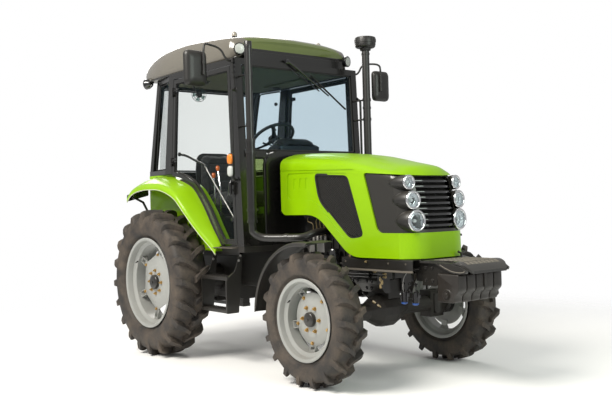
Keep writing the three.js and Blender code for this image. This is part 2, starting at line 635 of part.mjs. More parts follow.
// Roof moulding: crowned across and along, dropping at the front edge.
const cabSeat = cab.top + seatGap;
const roofStations = [
  // [x, side half width, underside, edge height, crown height]
  [-600, 520, 2475, 2560, 2600],
  [-520, 585, 2455, 2610, 2660],
  [-190, 640, cabSeat, 2665, 2715],
  [200, 650, cabSeat, 2680, 2730],
  [550, 650, cabSeat, 2655, 2712],
  [870, 625, cabSeat, 2620, 2675],
  [960, 600, 2470, 2590, 2640],
  [985, 560, 2500, 2560, 2610],
];

function roofShell() {
  const sections = roofStations.map(([x, half, low, edge, crown]) => {
    const right = [[half - 30, low], [half, low + 24], [half + 4, (low + edge) / 2], [half - 14, edge - 12],
      [half - 60, edge + 10], [half * 0.55, crown - 12]];
    const left = [...right].reverse().map(([y, z]) => [-y, z]);
    return [...right, [0, crown], ...left].map(([y, z]) => [x, y, z]);
  });
  return loft(sections);
}

// ---------------------------------------------------------------- glass
// A pane drawn in front view that leans with the wall it closes.
function leaningPane(corners, slope, x0, zAt) {
  const geometry = extrude(outline(corners), glass).applyMatrix4(basis(unitY, unitZ, unitX));
  const lean = new THREE.Matrix4().set(1, 0, slope, x0 - slope * zAt, 0, 1, 0, 0, 0, 0, 1, 0, 0, 0, 0, 1);
  return solid(geometry.applyMatrix4(lean));
}

function windscreen() {
  const low = cowl.top + seatGap;
  const side = cab.half - cab.post - seatGap;
  const high = cab.header - seatGap;
  const pane = [[-side, low], [side, low], [side, high], [-side, high]];
  return leaningPane(pane, cab.frontSlope, frontAt(1000) - 16, 1000);
}

// Lower front panes between the cowl arch and the front pillars.
function cowlGlass() {
  const y0 = cowl.half + seatGap;
  const y1 = cab.half - cab.post - seatGap;
  const [low, high] = [cowl.glassLow + seatGap, cowl.glassHigh - seatGap];
  const rear = cowl.front - 20;
  return frontPlate([[y0, low], [y1, low], [y1, high], [y0, high]], rear, rear + glass);
}

function rearWindow() {
  const side = cab.rearHalf - 50 - seatGap;
  const low = beltRail.high + seatGap;
  const high = cab.header - 20 - seatGap;
  const pane = [[-side, low], [side, low], [side, high], [-side, high]];
  return leaningPane(pane, cab.rearSlope, cab.rearX + 20, cab.belt);
}

// Fixed pane between the rear posts, turned in towards the back.
function quarterGlass() {
  const low = beltRail.high + seatGap;
  const high = cab.header - seatGap;
  const rear = (z) => cFront(z) + seatGap;
  const front = (z) => bRear(z) - seatGap;
  const inward = (cab.half - cab.rearHalf) / (front(high) - rear(high));
  const pane = outline([[rear(low), low], [front(low), low], [front(high), high], [rear(high), high]]);
  const geometry = extrude(pane, glass).applyMatrix4(basis(unitX, unitZ, unitY.clone().negate()));
  const y0 = cab.rearHalf - 22 - inward * rear(high);
  const turn = new THREE.Matrix4().set(1, 0, 0, 0, inward, 1, 0, y0, 0, 0, 1, 0, 0, 0, 0, 1);
  return solid(geometry.applyMatrix4(turn));
}

// ---------------------------------------------------------------- doors
const doorRail = 36;
const hingeLevels = [1690, 2300];
const hingeY = cab.half + 14;

// Moves every edge of a closed outline inwards by a distance; its corner radii shrink with it.
function inset(points, distance) {
  const count = points.length;
  const edges = points.map(([u, v], i) => {
    const [nu, nv] = points[(i + 1) % count];
    const length = Math.hypot(nu - u, nv - v);
    const normal = [-(nv - v) / length, (nu - u) / length];
    return { normal, offset: normal[0] * u + normal[1] * v + distance };
  });
  return points.map(([, , radius = 0], i) => {
    const { normal: [a, b], offset: p } = edges[(i + count - 1) % count];
    const { normal: [c, d], offset: q } = edges[i];
    const det = a * d - b * c;
    return [(p * d - b * q) / det, (a * q - p * c) / det, Math.max(0, radius - distance)];
  });
}

// Counterclockwise: sill, front post, header, hinge line, then down the rear fender.
function doorOutline() {
  const clear = jointGap;
  const archClear = 14;
  const low = cab.sill + clear;
  const high = cab.header - clear;
  const beside = fenderStations.filter(([x]) => x > 100 && x < 760);
  const arch = beside.map(([x, z]) => [x + archClear * 0.7, z + archClear]);
  const hingeFoot = arch[0][1] + 30;
  return [
    [800, low], [postRear(low) - clear, low], [postRear(high) - clear, high], [hingeAt(high) - clear, high],
    [hingeAt(hingeFoot) - clear, hingeFoot], ...arch,
  ];
}

function doorFrame() {
  const whole = doorOutline();
  const frame = sidePlate(whole, cab.half - cab.doorThick, cab.half, [inset(whole, doorRail)]);
  const parts = [frame];
  for (const z of hingeLevels) {
    const [x0, x1] = [hingeAt(z - 25), hingeAt(z + 25)];
    parts.push(bar([x0, hingeY, z - 25], [x1, hingeY, z + 25], 11));
    parts.push(block(hingeAt(z) - 2, hingeAt(z) + 30, cab.half - 4, hingeY, z - 14, z + 14));
  }
  const handleX = frontAt(1450) - 107;
  parts.push(block(handleX - 14, handleX + 14, cab.half - 1, cab.half + 34, 1440, 1460));
  parts.push(block(handleX - 14, handleX + 14, cab.half + 22, cab.half + 34, 1370, 1460));
  return join(...parts);
}

function doorGlass() {
  const pane = inset(doorOutline(), doorRail + seatGap);
  const middle = cab.half - cab.doorThick / 2;
  return sidePlate(pane, middle - glass / 2, middle + glass / 2);
}

// Frame side of each hinge: a lug under the door's barrel.
function hingeLugs() {
  const lugs = hingeLevels.flatMap((z) => [
    bar([hingeAt(z - 52), hingeY, z - 52], [hingeAt(z - 25.5), hingeY, z - 25.5], 11),
    planPlate([[-44, cab.half - 4], [-18, cab.half - 4], [-18, cab.half + 4], [-5, cab.half + 4],
      [-5, hingeY + 4], [-30, hingeY + 2]].map(([x, y]) => [hingeAt(z) + x, y]), z - 50, z - 30),
  ]);
  return join(...lugs);
}

// ---------------------------------------------------------------- inside the cab
const steering = { x: 650, z: 1860, tilt: 35 * degree, rimRadius: 190, gripRadius: 15 };
const columnAt = (t) => [steering.x + Math.sin(steering.tilt) * t, 0, steering.z - Math.cos(steering.tilt) * t];

function dashboard() {
  const rear = cowl.rear - seatGap;
  const foot = cab.floor + seatGap;
  const body = sidePlate([[900, foot], [rear, foot], [rear, 1765, 20], [960, 1795, 40], [842, 1760, 20],
    [836, 1640, 20], [905, 1560, 40]], -215, 215);
  const column = bar(columnAt(52 + seatGap), columnAt(330), 34, 44, 16);
  return join(body, column);
}

function steeringWheel() {
  const { rimRadius, gripRadius } = steering;
  const ring = solid(new THREE.TorusGeometry(rimRadius, gripRadius, 6, 20));
  const boss = new THREE.CylinderGeometry(46, 34, 60, 12).rotateX(Math.PI / 2).translate(0, 0, -22);
  const parts = [ring, solid(boss)];
  for (const angle of [90, 210, 330]) {
    const spoke = new THREE.BoxGeometry(rimRadius, 26, 10).translate(rimRadius / 2, 0, -4);
    parts.push(solid(spoke.rotateZ(angle * degree)));
  }
  const { tilt, x, z } = steering;
  return join(...parts).rotate([0, -tilt / degree, 0]).translate([x, 0, z]);
}

const seat = { rear: -120, front: 340, half: 235, base: 1180, cushion: 1285, top: 1405, backTop: 1790 };

function seatBase() {
  const { rear, front, base, cushion, backTop } = seat;
  return sidePlate([[rear - 40, base + seatGap], [front - 60, base + seatGap], [front - 60, cushion - seatGap],
    [rear - 60, cushion - seatGap], [rear - 160, backTop - 60], [rear - 176, backTop - 60],
    [rear - 90, base + 60]], -170, 170);
}

function seatCushion() {
  const { rear, front, half, cushion, top } = seat;
  const profile = [[rear, cushion, 25], [front, cushion, 45], [front, top, 45], [rear, top - 20, 30]];
  return sidePlate(profile, -half, half);
}

function seatBack() {
  const { rear, half, cushion, backTop } = seat;
  const lean = 100 / (backTop - 60 - cushion);
  const face = (z) => rear - 60 + seatGap - lean * (z - cushion);
  return sidePlate([[face(cushion + 60), cushion + 60, 10], [face(cushion + 60) + 50, cushion + 60, 20],
    [face(backTop) + 110, cushion + 200, 40], [face(backTop) + 80, backTop, 35],
    [face(backTop) + 4, backTop, 20]], -half, half);
}

// ---------------------------------------------------------------- bonnet
// Top skin sections across the tractor: [x, half width, shoulder height, crown height].
const bonnetStations = [
  [1165, 345, 1622, 1690],
  [1500, 336, 1602, 1666],
  [1850, 325, 1564, 1616],
  [2150, 314, 1516, 1560],
  [2400, 304, 1466, 1506],
  [2700, 294, 1390, 1430],
];
// Plan outlines at each level: [height, nose x, half width of the front flat].
const noseStations = [[820, 2582, 150], [1000, 2580, 150], [1250, 2556, 150], [1430, 2516, 150],
  [1750, 2440, 150]];

function bonnetVolume(depth, reach = 0) {
  const top = loft(bonnetStations.map(([x, half, shoulder, crown], i) => {
    const w = half - depth;
    const right = [[w, 800 - reach], [w, shoulder - 40 - depth], [w - 12, shoulder - depth],
      [w - 50, shoulder + 26 - depth], [w * 0.5, crown - 12 - depth]];
    const left = [...right].reverse().map(([y, z]) => [-y, z]);
    return [...right, [0, crown - depth], ...left].map(([y, z]) => [x - (i === 0 ? reach : 0), y, z]);
  }));
  const plan = noseStations.map(([z, nose, flat]) => {
    const x = nose - depth;
    const wide = 360 - depth;
    const side = 300 - depth;
    const right = [[1100 - reach, wide], [x - 150, side + 18], [x - 90, side], [x - 45, side - 34],
      [x - 12, flat + 46], [x, flat - 40]];
    const left = [...right].reverse().map(([u, y]) => [u, -y]);
    return [...right, ...left].map(([u, y]) => [u, y, z]);
  });
  return top.intersect(planLoft(plan));
}

// Sections stacked upwards, each an outline in plan.
function planLoft(sections) {
  const turnedSections = sections.map((ring) => ring.map(([x, y, z]) => [z, x, y]));
  const body = loft(turnedSections);
  const { vertProperties, triVerts } = body.getMesh();
  const points = new Float32Array(vertProperties.length);
  for (let i = 0; i < points.length; i += 3) {
    points.set([vertProperties[i + 1], vertProperties[i + 2], vertProperties[i]], i);
  }
  return new wasm.Manifold(new wasm.Mesh({ numProp: 3, vertProperties: points, triVerts }));
}

const across = 500;
// A shallow panel pressed into each side behind the vent, with three flutes left standing in it.
const pressing = { rear: 1262, front: 1580, low: 1330, high: 1492, deep: 2 };
const flute = { count: 3, pitch: 70, half: 20, tall: 90 };
const ventOutline = [[1617, 1295], [1940, 1027], [2084, 1060], [1930, 1478], [1585, 1500]];
const noseOutline = [[2250, 1057], [2700, 1057], [2700, 1440], [2500, 1452], [2390, 1464], [2120, 1486]];

function bonnetShell() {
  const { rear, rearLower, bandLower, skin } = bonnet;
  const below = sidePlate([[rear - 80, 700], [2800, 700], [2800, bandLower], [1975, bandLower, 60],
    [1600, rearLower, 60], [rear - 80, rearLower]], -across, across);
  const openings = [ventOutline, noseOutline].map((corners) => sidePlate(corners, -across, across));
  let shell = bonnetVolume(0).subtract(bonnetVolume(skin, 60)).subtract(below);
  for (const opening of openings) shell = shell.subtract(opening);
  shell = shell.subtract(pressedPanel());
  const { x, z, ear } = bonnetHinge;
  const ears = [ear + 0.5, -ear - 10.5].map((y) => sidePlate([[x - 18, z - 18, 12], [x + 18, z - 18, 12],
    [x + 30, bonnet.rearCrown], [x - 20, bonnet.rearCrown]], y, y + 10).intersect(bonnetVolume(1)));
  return join(shell, ...ears);
}

function pressedPanel() {
  const { rear, front, low, high, deep } = pressing;
  const layer = bonnetVolume(-1).subtract(bonnetVolume(deep));
  const border = [[rear, low, 14], [front, low, 14], [front, high, 14], [rear, high, 14]];
  let window = sidePlate(border, -across, across);
  const x0 = (rear + front - (flute.count - 1) * flute.pitch) / 2;
  const foot = (low + high - flute.tall) / 2;
  for (let i = 0; i < flute.count; i++) {
    const x = x0 + i * flute.pitch;
    const wedge = [[x - flute.half, foot], [x + flute.half, foot], [x, foot + flute.tall]];
    window = window.subtract(sidePlate(wedge, -across - 1, across + 1));
  }
  return layer.intersect(window);
}

// A layer just inside the bonnet skin.
function bonnetLayer(from, to) {
  return bonnetVolume(bonnet.skin + from).subtract(bonnetVolume(bonnet.skin + to, 60));
}

const ventSlots = { first: 1690, count: 5, pitch: 44, width: 22, low: 1290, high: 1450 };

function ventPanel() {
  let window = sidePlate(inset(ventOutline, -12), 100, across);
  const { first, count, pitch, width, low, high } = ventSlots;
  for (let i = 0; i < count; i++) {
    const x = first + i * pitch;
    const slot = [[x, low], [x + width, low], [x + width, high], [x, high]];
    window = window.subtract(sidePlate(slot, 99, across + 1));
  }
  return bonnetLayer(seatGap, seatGap + 4).intersect(window);
}

const headlamps = [
  // [x, y, z, radius]
  [2488, 242, 1400, 46],
  [2518, 236, 1281, 60],
  [2533, 221, 1137, 72],
];

function grille() {
  const surround = sidePlate(inset(noseOutline, -14), -across, across);
  const opening = frontPlate([[-150, 1085, 20], [150, 1085, 20], [158, 1432, 20], [-158, 1432, 20]], 2350, 2700);
  const parts = [bonnetLayer(seatGap, seatGap + 5).intersect(surround).subtract(opening)];
  const bars = 8;
  const thick = bonnetLayer(seatGap + 1, seatGap + 22).intersect(block(2380, 2700, -170, 170, 1000, 1500));
  for (let i = 0; i < bars; i++) {
    const z = 1102 + i * 42;
    parts.push(thick.intersect(block(2300, 2700, -170, 170, z, z + 16)));
  }
  for (const side of [-1, 1]) {
    for (const [x, y, z, radius] of headlamps) {
      parts.push(bar([x - 70, side * (y - 6), z], [x, side * y, z], radius * 0.7, radius, 8));
    }
  }
  return join(...parts);
}

// ---------------------------------------------------------------- stacks
const stack = { x: 1200, exhaustY: -635, intakeY: 620, exhaustTop: 2550, intakeTop: 2620 };

function exhaustStack() {
  const { x, exhaustY: y, exhaustTop } = stack;
  const pipe = bentBar([[x, y, exhaustTop], [x, y, 1060], [x + 70, y + 90, 1020], [1480, -440, 1020],
    [1560, -engine.half - 70, 1060], [1560, -engine.half - seatGap, 1060]], 29, 60, 10);
  const shield = bar([x, y, 1150], [x, y, 1780], 37, 37, 14);
  return join(pipe, shield);
}

function intakeStack() {
  const { x, intakeY: y, intakeTop } = stack;
  const pipe = bentBar([[x, y, intakeTop], [x, y, 1130], [1330, 480, 1110], [1500, engine.half + 80, 1110],
    [1500, engine.half + seatGap, 1110]], 34, 60, 10);
  const cap = turned([[0, 0], [60, 0], [94, 30], [94, 86], [70, 110], [0, 110]], 0, 0, 18).rotate([90, 0, 0]);
  return join(pipe, cap.translate([x, y, intakeTop - 15]));
}

// ---------------------------------------------------------------- outside fittings
function mirror() {
  const x = frontAt(2420) - 32;
  const arm = bentBar([[x, cab.half + 4, 2425], [x, cab.half + 50, 2425], [x, cab.half + 90, 2500],
    [x, 930, 2530], [x, 985, 2470]], 9, 22, 6);
  const foot = block(x - 20, x + 20, cab.half + seatGap, cab.half + 8, 2400, 2448);
  const face = [[890, 2200, 30], [1090, 2200, 30], [1090, 2480, 40], [890, 2480, 40]];
  const housing = frontPlate(face, x - 22, x + 30);
  return join(arm, foot, housing);
}

function handrail() {
  const x = frontAt(1500) - 38;
  const y = cab.half + 44;
  const foot = cab.half + seatGap;
  const rail = bentBar([[x, foot, 1480], [x, y, 1480], [x, y, 2190], [x, foot, 2190]], 11, 28, 8);
  const lens = [[x - 35, 1500, 30], [x + 35, 1500, 30], [x + 35, 1690, 30], [x - 35, 1690, 30]];
  const lamp = sidePlate(lens, y, y + 44);
  return join(rail, lamp);
}

function step() {
  const top = platform.low - seatGap;
  const cheek = [[610, top], [640, top], [690, 760], [772, 700], [772, 430], [660, 430], [640, 640]];
  const cheeks = [650, 1018].map((x) => frontPlate(cheek, x, x + 6));
  const treads = [700, 436].map((z) => block(650, 1024, 664, 768, z - 6, z + 20));
  return join(...cheeks, ...treads, block(650, 1024, 610, 640, top - 20, top));
}

function fuelTank() {
  return frontPlate([[240, 640, 40], [560, 640, 40], [560, platform.low - seatGap, 20],
    [240, platform.low - seatGap, 20]], 420, 1000);
}

// ---------------------------------------------------------------- front weights
const weightHook = 790;
const weights = { count: 5, pitch: 92, thick: 84, rear: 2716, front: 2900, low: 600 };
const weightRod = { radius: 14, half: 250, x: 2800, z: 650 };
// Anti-slip plate: flat over the weights, with its front folded down in a curve.
const topPlate = { half: 225, noseHalf: 180, sheet: 18, bend: 2860, drop: 60 };

function weightCarrier() {
  const { front, half, top } = frameRail;
  const { sheet: thick, bend, drop } = topPlate;
  const rear = front + seatGap;
  const nose = overall.front;
  const run = nose - bend;
  const over = [[rear + 20, top], [bend, top], [bend + run * 0.5, top - drop * 0.16],
    [bend + run * 0.85, top - drop * 0.5], [nose, top - drop]];
  const under = [[nose - thick, top - drop], [bend + run * 0.72, top - drop * 0.5 - thick * 0.4],
    [bend + run * 0.42, top - drop * 0.16 - thick], [bend - 4, top - thick], [rear + 20, top - thick]];
  const plan = [[rear, -topPlate.half], [nose - 80, -topPlate.half, 30], [nose, -topPlate.noseHalf, 40],
    [nose, topPlate.noseHalf, 40], [nose - 80, topPlate.half, 30], [rear, topPlate.half]];
  const plate = sidePlate([...over, ...under], -topPlate.half, topPlate.half)
    .intersect(planPlate(plan, top - drop - 1, top + 1));
  const cheeks = [-1, 1].map((side) => sidePlate([[rear, 700], [2690, 700, 20], [2700, weightHook, 10],
    [2890, weightHook, 20], [2900, top - drop + 5], [bend, top - 10], [rear, top - 10]],
  side * half - 8, side * half + 8));
  const back = block(rear, rear + 30, -half, half, 700, top - 10);
  return join(plate, ...cheeks, back);
}

function frontWeights() {
  const { count, pitch, thick, rear, front, low } = weights;
  const { radius, half, x, z } = weightRod;
  const high = weightHook - seatGap;
  const slabs = Array.from({ length: count }, (_, i) => {
    const y = (i - (count - 1) / 2) * pitch - thick / 2;
    return sidePlate([[rear, low, 12], [front - 42, low, 12], [front - 38, low + 46], [front, low + 78, 12],
      [front, high], [rear, high]], y, y + thick);
  });
  return join(...slabs, bar([x, -half, z], [x, half, z], radius));
}

// ---------------------------------------------------------------- rear linkage
const eyeBar = (x, y, z, half, radius) => bar([x, y - half, z], [x, y + half, z], radius, radius, 12);
const lowerYAt = (x) => lower.y + (lower.endY - lower.y) * (x - lower.x) / (lower.endX - lower.x);
const lowerZAt = (x) => lower.z + (lower.endZ - lower.z) * (x - lower.x) / (lower.endX - lower.x);

function lowerLink() {
  const beam = bar([lower.x, lower.y, lower.z], [lower.endX, lower.endY, lower.endZ], lower.bar, lower.bar, 8);
  return join(beam, eyeBar(lower.x, lower.y, lower.z, 20, lower.eye),
    eyeBar(lower.endX, lower.endY, lower.endZ, 20, lower.eye));
}

function liftArms() {
  const reach = lift.y + 20;
  const round = lift.shaft - 0.2;
  const shaft = bar([lift.x, -reach, lift.z], [lift.x, reach, lift.z], round, round, 16);
  const arms = [-1, 1].map((side) => sidePlate([[lift.x + 42, lift.z - 42, 34], [lift.x + 42, lift.z + 42, 34],
    [lift.armX - 28, lift.armZ + 24, 22], [lift.armX - 28, lift.armZ - 24, 22]],
  side * lift.y - lift.arm / 2, side * lift.y + lift.arm / 2));
  return join(shaft, ...arms);
}

const rodTop = [lift.armX, lift.y + lift.arm / 2 + 18, lift.armZ];
const rodFoot = [lower.pinX, lowerYAt(lower.pinX), lowerZAt(lower.pinX) + lower.bar + 18];

function liftRod() {
  const rod = bar(rodTop, rodFoot, 12, 14, 10);
  return join(rod, bar([lift.armX, lift.y + lift.arm / 2 + 0.5, lift.armZ], rodTop, 22, 22, 16));
}

function topLink() {
  const rod = bar([upper.x, 0, upper.z], [upper.endX, 0, upper.endZ], 17, 17, 10);
  return join(rod, eyeBar(upper.x, 0, upper.z, upper.half, upper.eye),
    eyeBar(upper.endX, 0, upper.endZ, upper.half, upper.eye));
}

function drawbar() {
  const plate = planPlate([[-560, -38, 30], [190, -38, 4], [190, 38, 4], [-560, 38, 30]], 350, 380);
  return join(plate, block(40, 180, -38, 38, 379, casing.low - seatGap));
}

addPair('rear_fender', rearFender(), 'green');
add('cab_floor', cabFloor(), 'black');
const lugs = hingeLugs();
add('cab_frame', join(cabFrame(), lugs, mirrored(lugs)), 'black');
add('roof', roofShell(), 'roof');
add('windscreen', windscreen(), 'glass');
add('rear_window', rearWindow(), 'glass');
addPair('quarter_glass', quarterGlass(), 'glass');
addPair('cowl_glass', cowlGlass(), 'glass');
addPair('door_frame', doorFrame(), 'black');
addPair('door_glass', doorGlass(), 'glass');
add('dashboard', dashboard(), 'plastic');
add('steering_wheel', steeringWheel(), 'plastic');
add('seat_base', seatBase(), 'black');
add('seat_cushion', seatCushion(), 'seat');
add('seat_back', seatBack(), 'seat');
add('bonnet', bonnetShell(), 'green');
addPair('side_vent', ventPanel(), 'plastic');
add('grille', grille(), 'plastic');
add('exhaust_stack', exhaustStack(), 'black');
add('intake_stack', intakeStack(), 'black');
addPair('mirror', mirror(), 'plastic');
addPair('handrail', handrail(), 'black');
addPair('step', step(), 'black');
add('fuel_tank', fuelTank(), 'plastic');
add('weight_carrier', weightCarrier(), 'black');
add('front_weights', frontWeights(), 'iron');
addPair('lower_link', lowerLink(), 'iron');
add('lift_arms', liftArms(), 'iron');
addPair('lift_rod', liftRod(), 'iron');
add('top_link', topLink(), 'iron');
add('drawbar', drawbar(), 'iron');

// The origin stands on the ground under the middle of the whole length and width.
tractor.position.x = -(overall.front + lower.endX - lower.eye) / 2;

export default tractor;
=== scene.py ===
import math
from math import cos, pi, radians, sin, tau

import bmesh
import bpy
import numpy as np
from mathutils import Matrix, Vector


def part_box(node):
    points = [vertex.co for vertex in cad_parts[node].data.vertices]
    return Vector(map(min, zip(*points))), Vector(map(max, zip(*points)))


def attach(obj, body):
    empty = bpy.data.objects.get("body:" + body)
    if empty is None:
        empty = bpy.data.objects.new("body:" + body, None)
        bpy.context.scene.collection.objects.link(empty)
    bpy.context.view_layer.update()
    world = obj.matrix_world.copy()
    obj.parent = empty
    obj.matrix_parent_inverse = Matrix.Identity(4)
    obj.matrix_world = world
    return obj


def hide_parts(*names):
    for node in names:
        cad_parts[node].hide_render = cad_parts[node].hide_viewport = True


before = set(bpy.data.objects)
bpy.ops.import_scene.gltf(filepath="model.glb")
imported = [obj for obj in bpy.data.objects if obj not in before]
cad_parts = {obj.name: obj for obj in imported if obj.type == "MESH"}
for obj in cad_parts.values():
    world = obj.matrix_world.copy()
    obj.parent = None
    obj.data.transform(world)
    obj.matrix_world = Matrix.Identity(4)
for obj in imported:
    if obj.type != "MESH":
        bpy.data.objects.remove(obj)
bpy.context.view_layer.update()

# -------- camera, floor and light
# The studio: a pale floor that fades into the backdrop, a large soft light over the near side and weaker
# ones over the nose and the rear. The camera stands at chest height ahead of the right front wheel.
eye = Vector((5.348, -4.329, 1.270))
heading, pitch, roll = radians(140.788), radians(0.146), radians(-1.511)
camera = bpy.data.objects.new("camera", bpy.data.cameras.new("camera"))
camera.data.sensor_width = 36
camera.data.lens = 48.22
camera.data.clip_end = 200
turn = Matrix.Rotation(heading - pi / 2, 4, "Z") @ Matrix.Rotation(pi / 2 + pitch, 4, "X")
camera.matrix_world = Matrix.Translation(eye) @ turn @ Matrix.Rotation(roll, 4, "Z")
bpy.context.scene.collection.objects.link(camera)
bpy.context.scene.camera = camera
bpy.context.scene.view_settings.view_transform = "Standard"


def add_light(name, place, aim, size, power, tint):
    light = bpy.data.lights.new(name, "AREA")
    light.shape = "RECTANGLE"
    light.size, light.size_y = size
    light.energy = power
    light.color = tint
    lamp = bpy.data.objects.new(name, light)
    lamp.location = place
    lamp.rotation_euler = (Vector(aim) - Vector(place)).to_track_quat("-Z", "Y").to_euler()
    bpy.context.scene.collection.objects.link(lamp)


add_light("key_light", (0.5, -6.0, 6.5), (0, 0, 1.0), (4.0, 3.0), 820, (1.0, 0.96, 0.89))
add_light("nose_light", (7.0, 0.5, 3.5), (0.5, 0, 1.0), (3.0, 3.0), 150, (0.88, 1.0, 0.90))
add_light("rear_light", (-6.5, 3.0, 5.5), (0, 0, 1.2), (4.0, 4.0), 260, (1.0, 0.97, 0.92))


class Link:
    """One output of a finish. Sums and products of links add Math nodes."""

    def __init__(self, finish, socket):
        self.finish = finish
        self.socket = socket

    def math(self, operation, first, second, clamp=False):
        return self.finish.node("ShaderNodeMath", {"operation": operation, "use_clamp": clamp}, first, second)

    def __add__(self, other):
        return self.math("ADD", self, other)

    def __sub__(self, other):
        return self.math("SUBTRACT", self, other)

    def __rsub__(self, other):
        return self.math("SUBTRACT", other, self)

    def __mul__(self, other):
        return self.math("MULTIPLY", self, other)

    def __pow__(self, other):
        return self.math("POWER", self, other)

    def clamped(self):
        return self.math("ADD", self, 0, clamp=True)

    __radd__ = __add__
    __rmul__ = __mul__


class Finish:
    """A surface finish: one principled shader and the nodes that vary it."""

    def __init__(self, name):
        self.material = bpy.data.materials.new(name)
        self.material.use_nodes = True
        self.tree = self.material.node_tree
        self.shader = self.tree.nodes["Principled BSDF"]
        self.output = self.tree.nodes["Material Output"]

    def node(self, kind, settings, *values, out=0, **named):
        made = self.tree.nodes.new(kind)
        for key, value in settings.items():
            setattr(made, key, value)
        for key, value in [*enumerate(values), *named.items()]:
            self.feed(made.inputs[key if isinstance(key, int) else key.replace("_", " ")], value)
        return Link(self, made.outputs[out])

    def feed(self, socket, value):
        if isinstance(value, Link):
            self.tree.links.new(value.socket, socket)
        elif isinstance(value, tuple) and socket.type == "RGBA":
            socket.default_value = (*value, 1)
        else:
            socket.default_value = value

    def set(self, **named):
        for key, value in named.items():
            self.feed(self.shader.inputs[key.replace("_", " ")], value)
        return self

    def seen_through(self, share, clear, first=False):
        """Mixes clear transparency with the principled shader; first says which of them a share of 0 shows."""
        shown = [self.node("ShaderNodeBsdfTransparent", {}, clear), Link(self, self.shader.outputs[0])]
        both = self.node("ShaderNodeMixShader", {}, share, *(shown if first else reversed(shown)))
        self.feed(self.output.inputs["Surface"], both)
        return self

    def place(self):
        return self.node("ShaderNodeTexCoord", {}, out="Object")

    def noise(self, scale, detail=3.0):
        return self.node("ShaderNodeTexNoise", {}, Vector=self.place(), Scale=scale, Detail=detail)

    def height(self):
        return self.node("ShaderNodeSeparateXYZ", {}, self.place(), out="Z")

    def facing_up(self):
        normal = self.node("ShaderNodeNewGeometry", {}, out="Normal")
        return self.node("ShaderNodeSeparateXYZ", {}, normal, out="Z").clamped()

    def blend(self, share, first, second):
        mixed = self.node("ShaderNodeMix", {"data_type": "RGBA"}, out=2)
        for i, value in ((0, share), (6, first), (7, second)):
            self.feed(mixed.socket.node.inputs[i], value)
        return mixed

    def bump(self, height, strength, distance):
        return self.set(Normal=self.node("ShaderNodeBump", {}, Height=height, Strength=strength, Distance=distance))


world = bpy.data.worlds.new("studio")
bpy.context.scene.world = world
world.use_nodes = True
sky = world.node_tree
backdrop = sky.nodes["Background"]
backdrop.inputs["Color"].default_value = (1, 1, 1, 1)
# The backdrop is seen white and lights the tractor at half of that.
seen = sky.nodes.new("ShaderNodeLightPath")
level = sky.nodes.new("ShaderNodeMapRange")
level.inputs["To Min"].default_value = 0.50
level.inputs["To Max"].default_value = 1.0
sky.links.new(seen.outputs["Is Camera Ray"], level.inputs["Value"])
sky.links.new(level.outputs["Result"], backdrop.inputs["Strength"])

floor_mesh = bpy.data.meshes.new("floor")
ring = [(9 * cos(tau * i / 96), 9 * sin(tau * i / 96), 0) for i in range(96)]
floor_mesh.from_pydata(ring, [], [tuple(range(96))])
floor = bpy.data.objects.new("floor", floor_mesh)
bpy.context.scene.collection.objects.link(floor)
floor_paper = Finish("floor_paper").set(Base_Color=(0.93, 0.93, 0.92), Roughness=0.9)
reach = floor_paper.node("ShaderNodeVectorMath", {"operation": "LENGTH"}, floor_paper.place(), out="Value")
fade = floor_paper.node("ShaderNodeMapRange", {"interpolation_type": "SMOOTHSTEP"}, Value=reach, From_Min=2.0,
                        From_Max=5.5)
floor_paper.seen_through(fade, (1, 1, 1))
floor.data.materials.append(floor_paper.material)

# -------- castings and frame rails
# Engine block, transmission, rails and radiator: iron castings and folded plate in satin black
# paint, bolted end to end, with road dust settled on what faces up and what lies low.
dust = (0.115, 0.095, 0.072)


def painted(name, colour, roughness, coat, dustiness, grain=0.0):
    """Paint with a faint mottle, and dust where the surface lies low or faces up."""
    made = Finish(name)
    mottle = made.noise(5.0, 5.0)
    low = ((1.15 - made.height()) * 0.9).clamped()
    settled = ((low * 0.7 + made.facing_up() * 0.5) * mottle * (2 * dustiness)).clamped()
    shade = made.blend(mottle, tuple(c * 0.9 for c in colour), tuple(c * 1.1 for c in colour))
    made.set(Base_Color=made.blend(settled, shade, dust), Roughness=(settled * 0.5 + roughness).clamped())
    made.set(Coat_Weight=coat, Coat_Roughness=0.08)
    if grain:
        made.bump(made.noise(420.0, 2.0), grain, 0.001)
    return made


def wear(item, *finishes):
    item.data.materials.clear()
    for finish in finishes:
        item.data.materials.append(finish.material)


def dress(finish, *nodes, bevel=0.0):
    for name in nodes:
        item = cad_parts[name]
        wear(item, finish)
        if bevel:
            soften(item, bevel)


def soften(item, width, segments=2):
    """Rounds the sharp edges of a piece as folding, casting or moulding leaves them."""
    rounding = item.modifiers.new("rounding", "BEVEL")
    rounding.width = width
    rounding.segments = segments
    rounding.limit_method = "ANGLE"
    rounding.angle_limit = radians(38)
    rounding.use_clamp_overlap = True
    rounding.harden_normals = True


cast_iron = painted("cast_iron_black", (0.0075, 0.0070, 0.0064), 0.50, 0.0, 0.22, grain=0.35)
frame_black = painted("frame_black", (0.0085, 0.0080, 0.0073), 0.34, 0.25, 0.20)
dress(cast_iron, "engine_block", "transmission", "front_axle", "knuckle_left", "knuckle_right", bevel=0.004)
dress(frame_black, "front_frame", "radiator", bevel=0.002)

# -------- tyres
# Bias tyres with a chevron tread: moulded rubber, two staggered rows of bars that meet near the crown
# and run out over the shoulders. The point of each chevron meets the ground first.
rear_axle_x = sum(corner.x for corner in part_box("rear_tyre_left")) / 2
sides = {"left": 1, "right": -1}


def spot(x, y, z):
    """A place given from the rear axle line, the middle plane and the ground."""
    return Vector((rear_axle_x + x, y, z))


def spotted(place):
    """A Vector as it is, and any other place as one given from the rear axle line."""
    return place if isinstance(place, Vector) else spot(*place)


def turns(steps):
    """Angles in even steps all the way round."""
    return np.arange(steps) * tau / steps


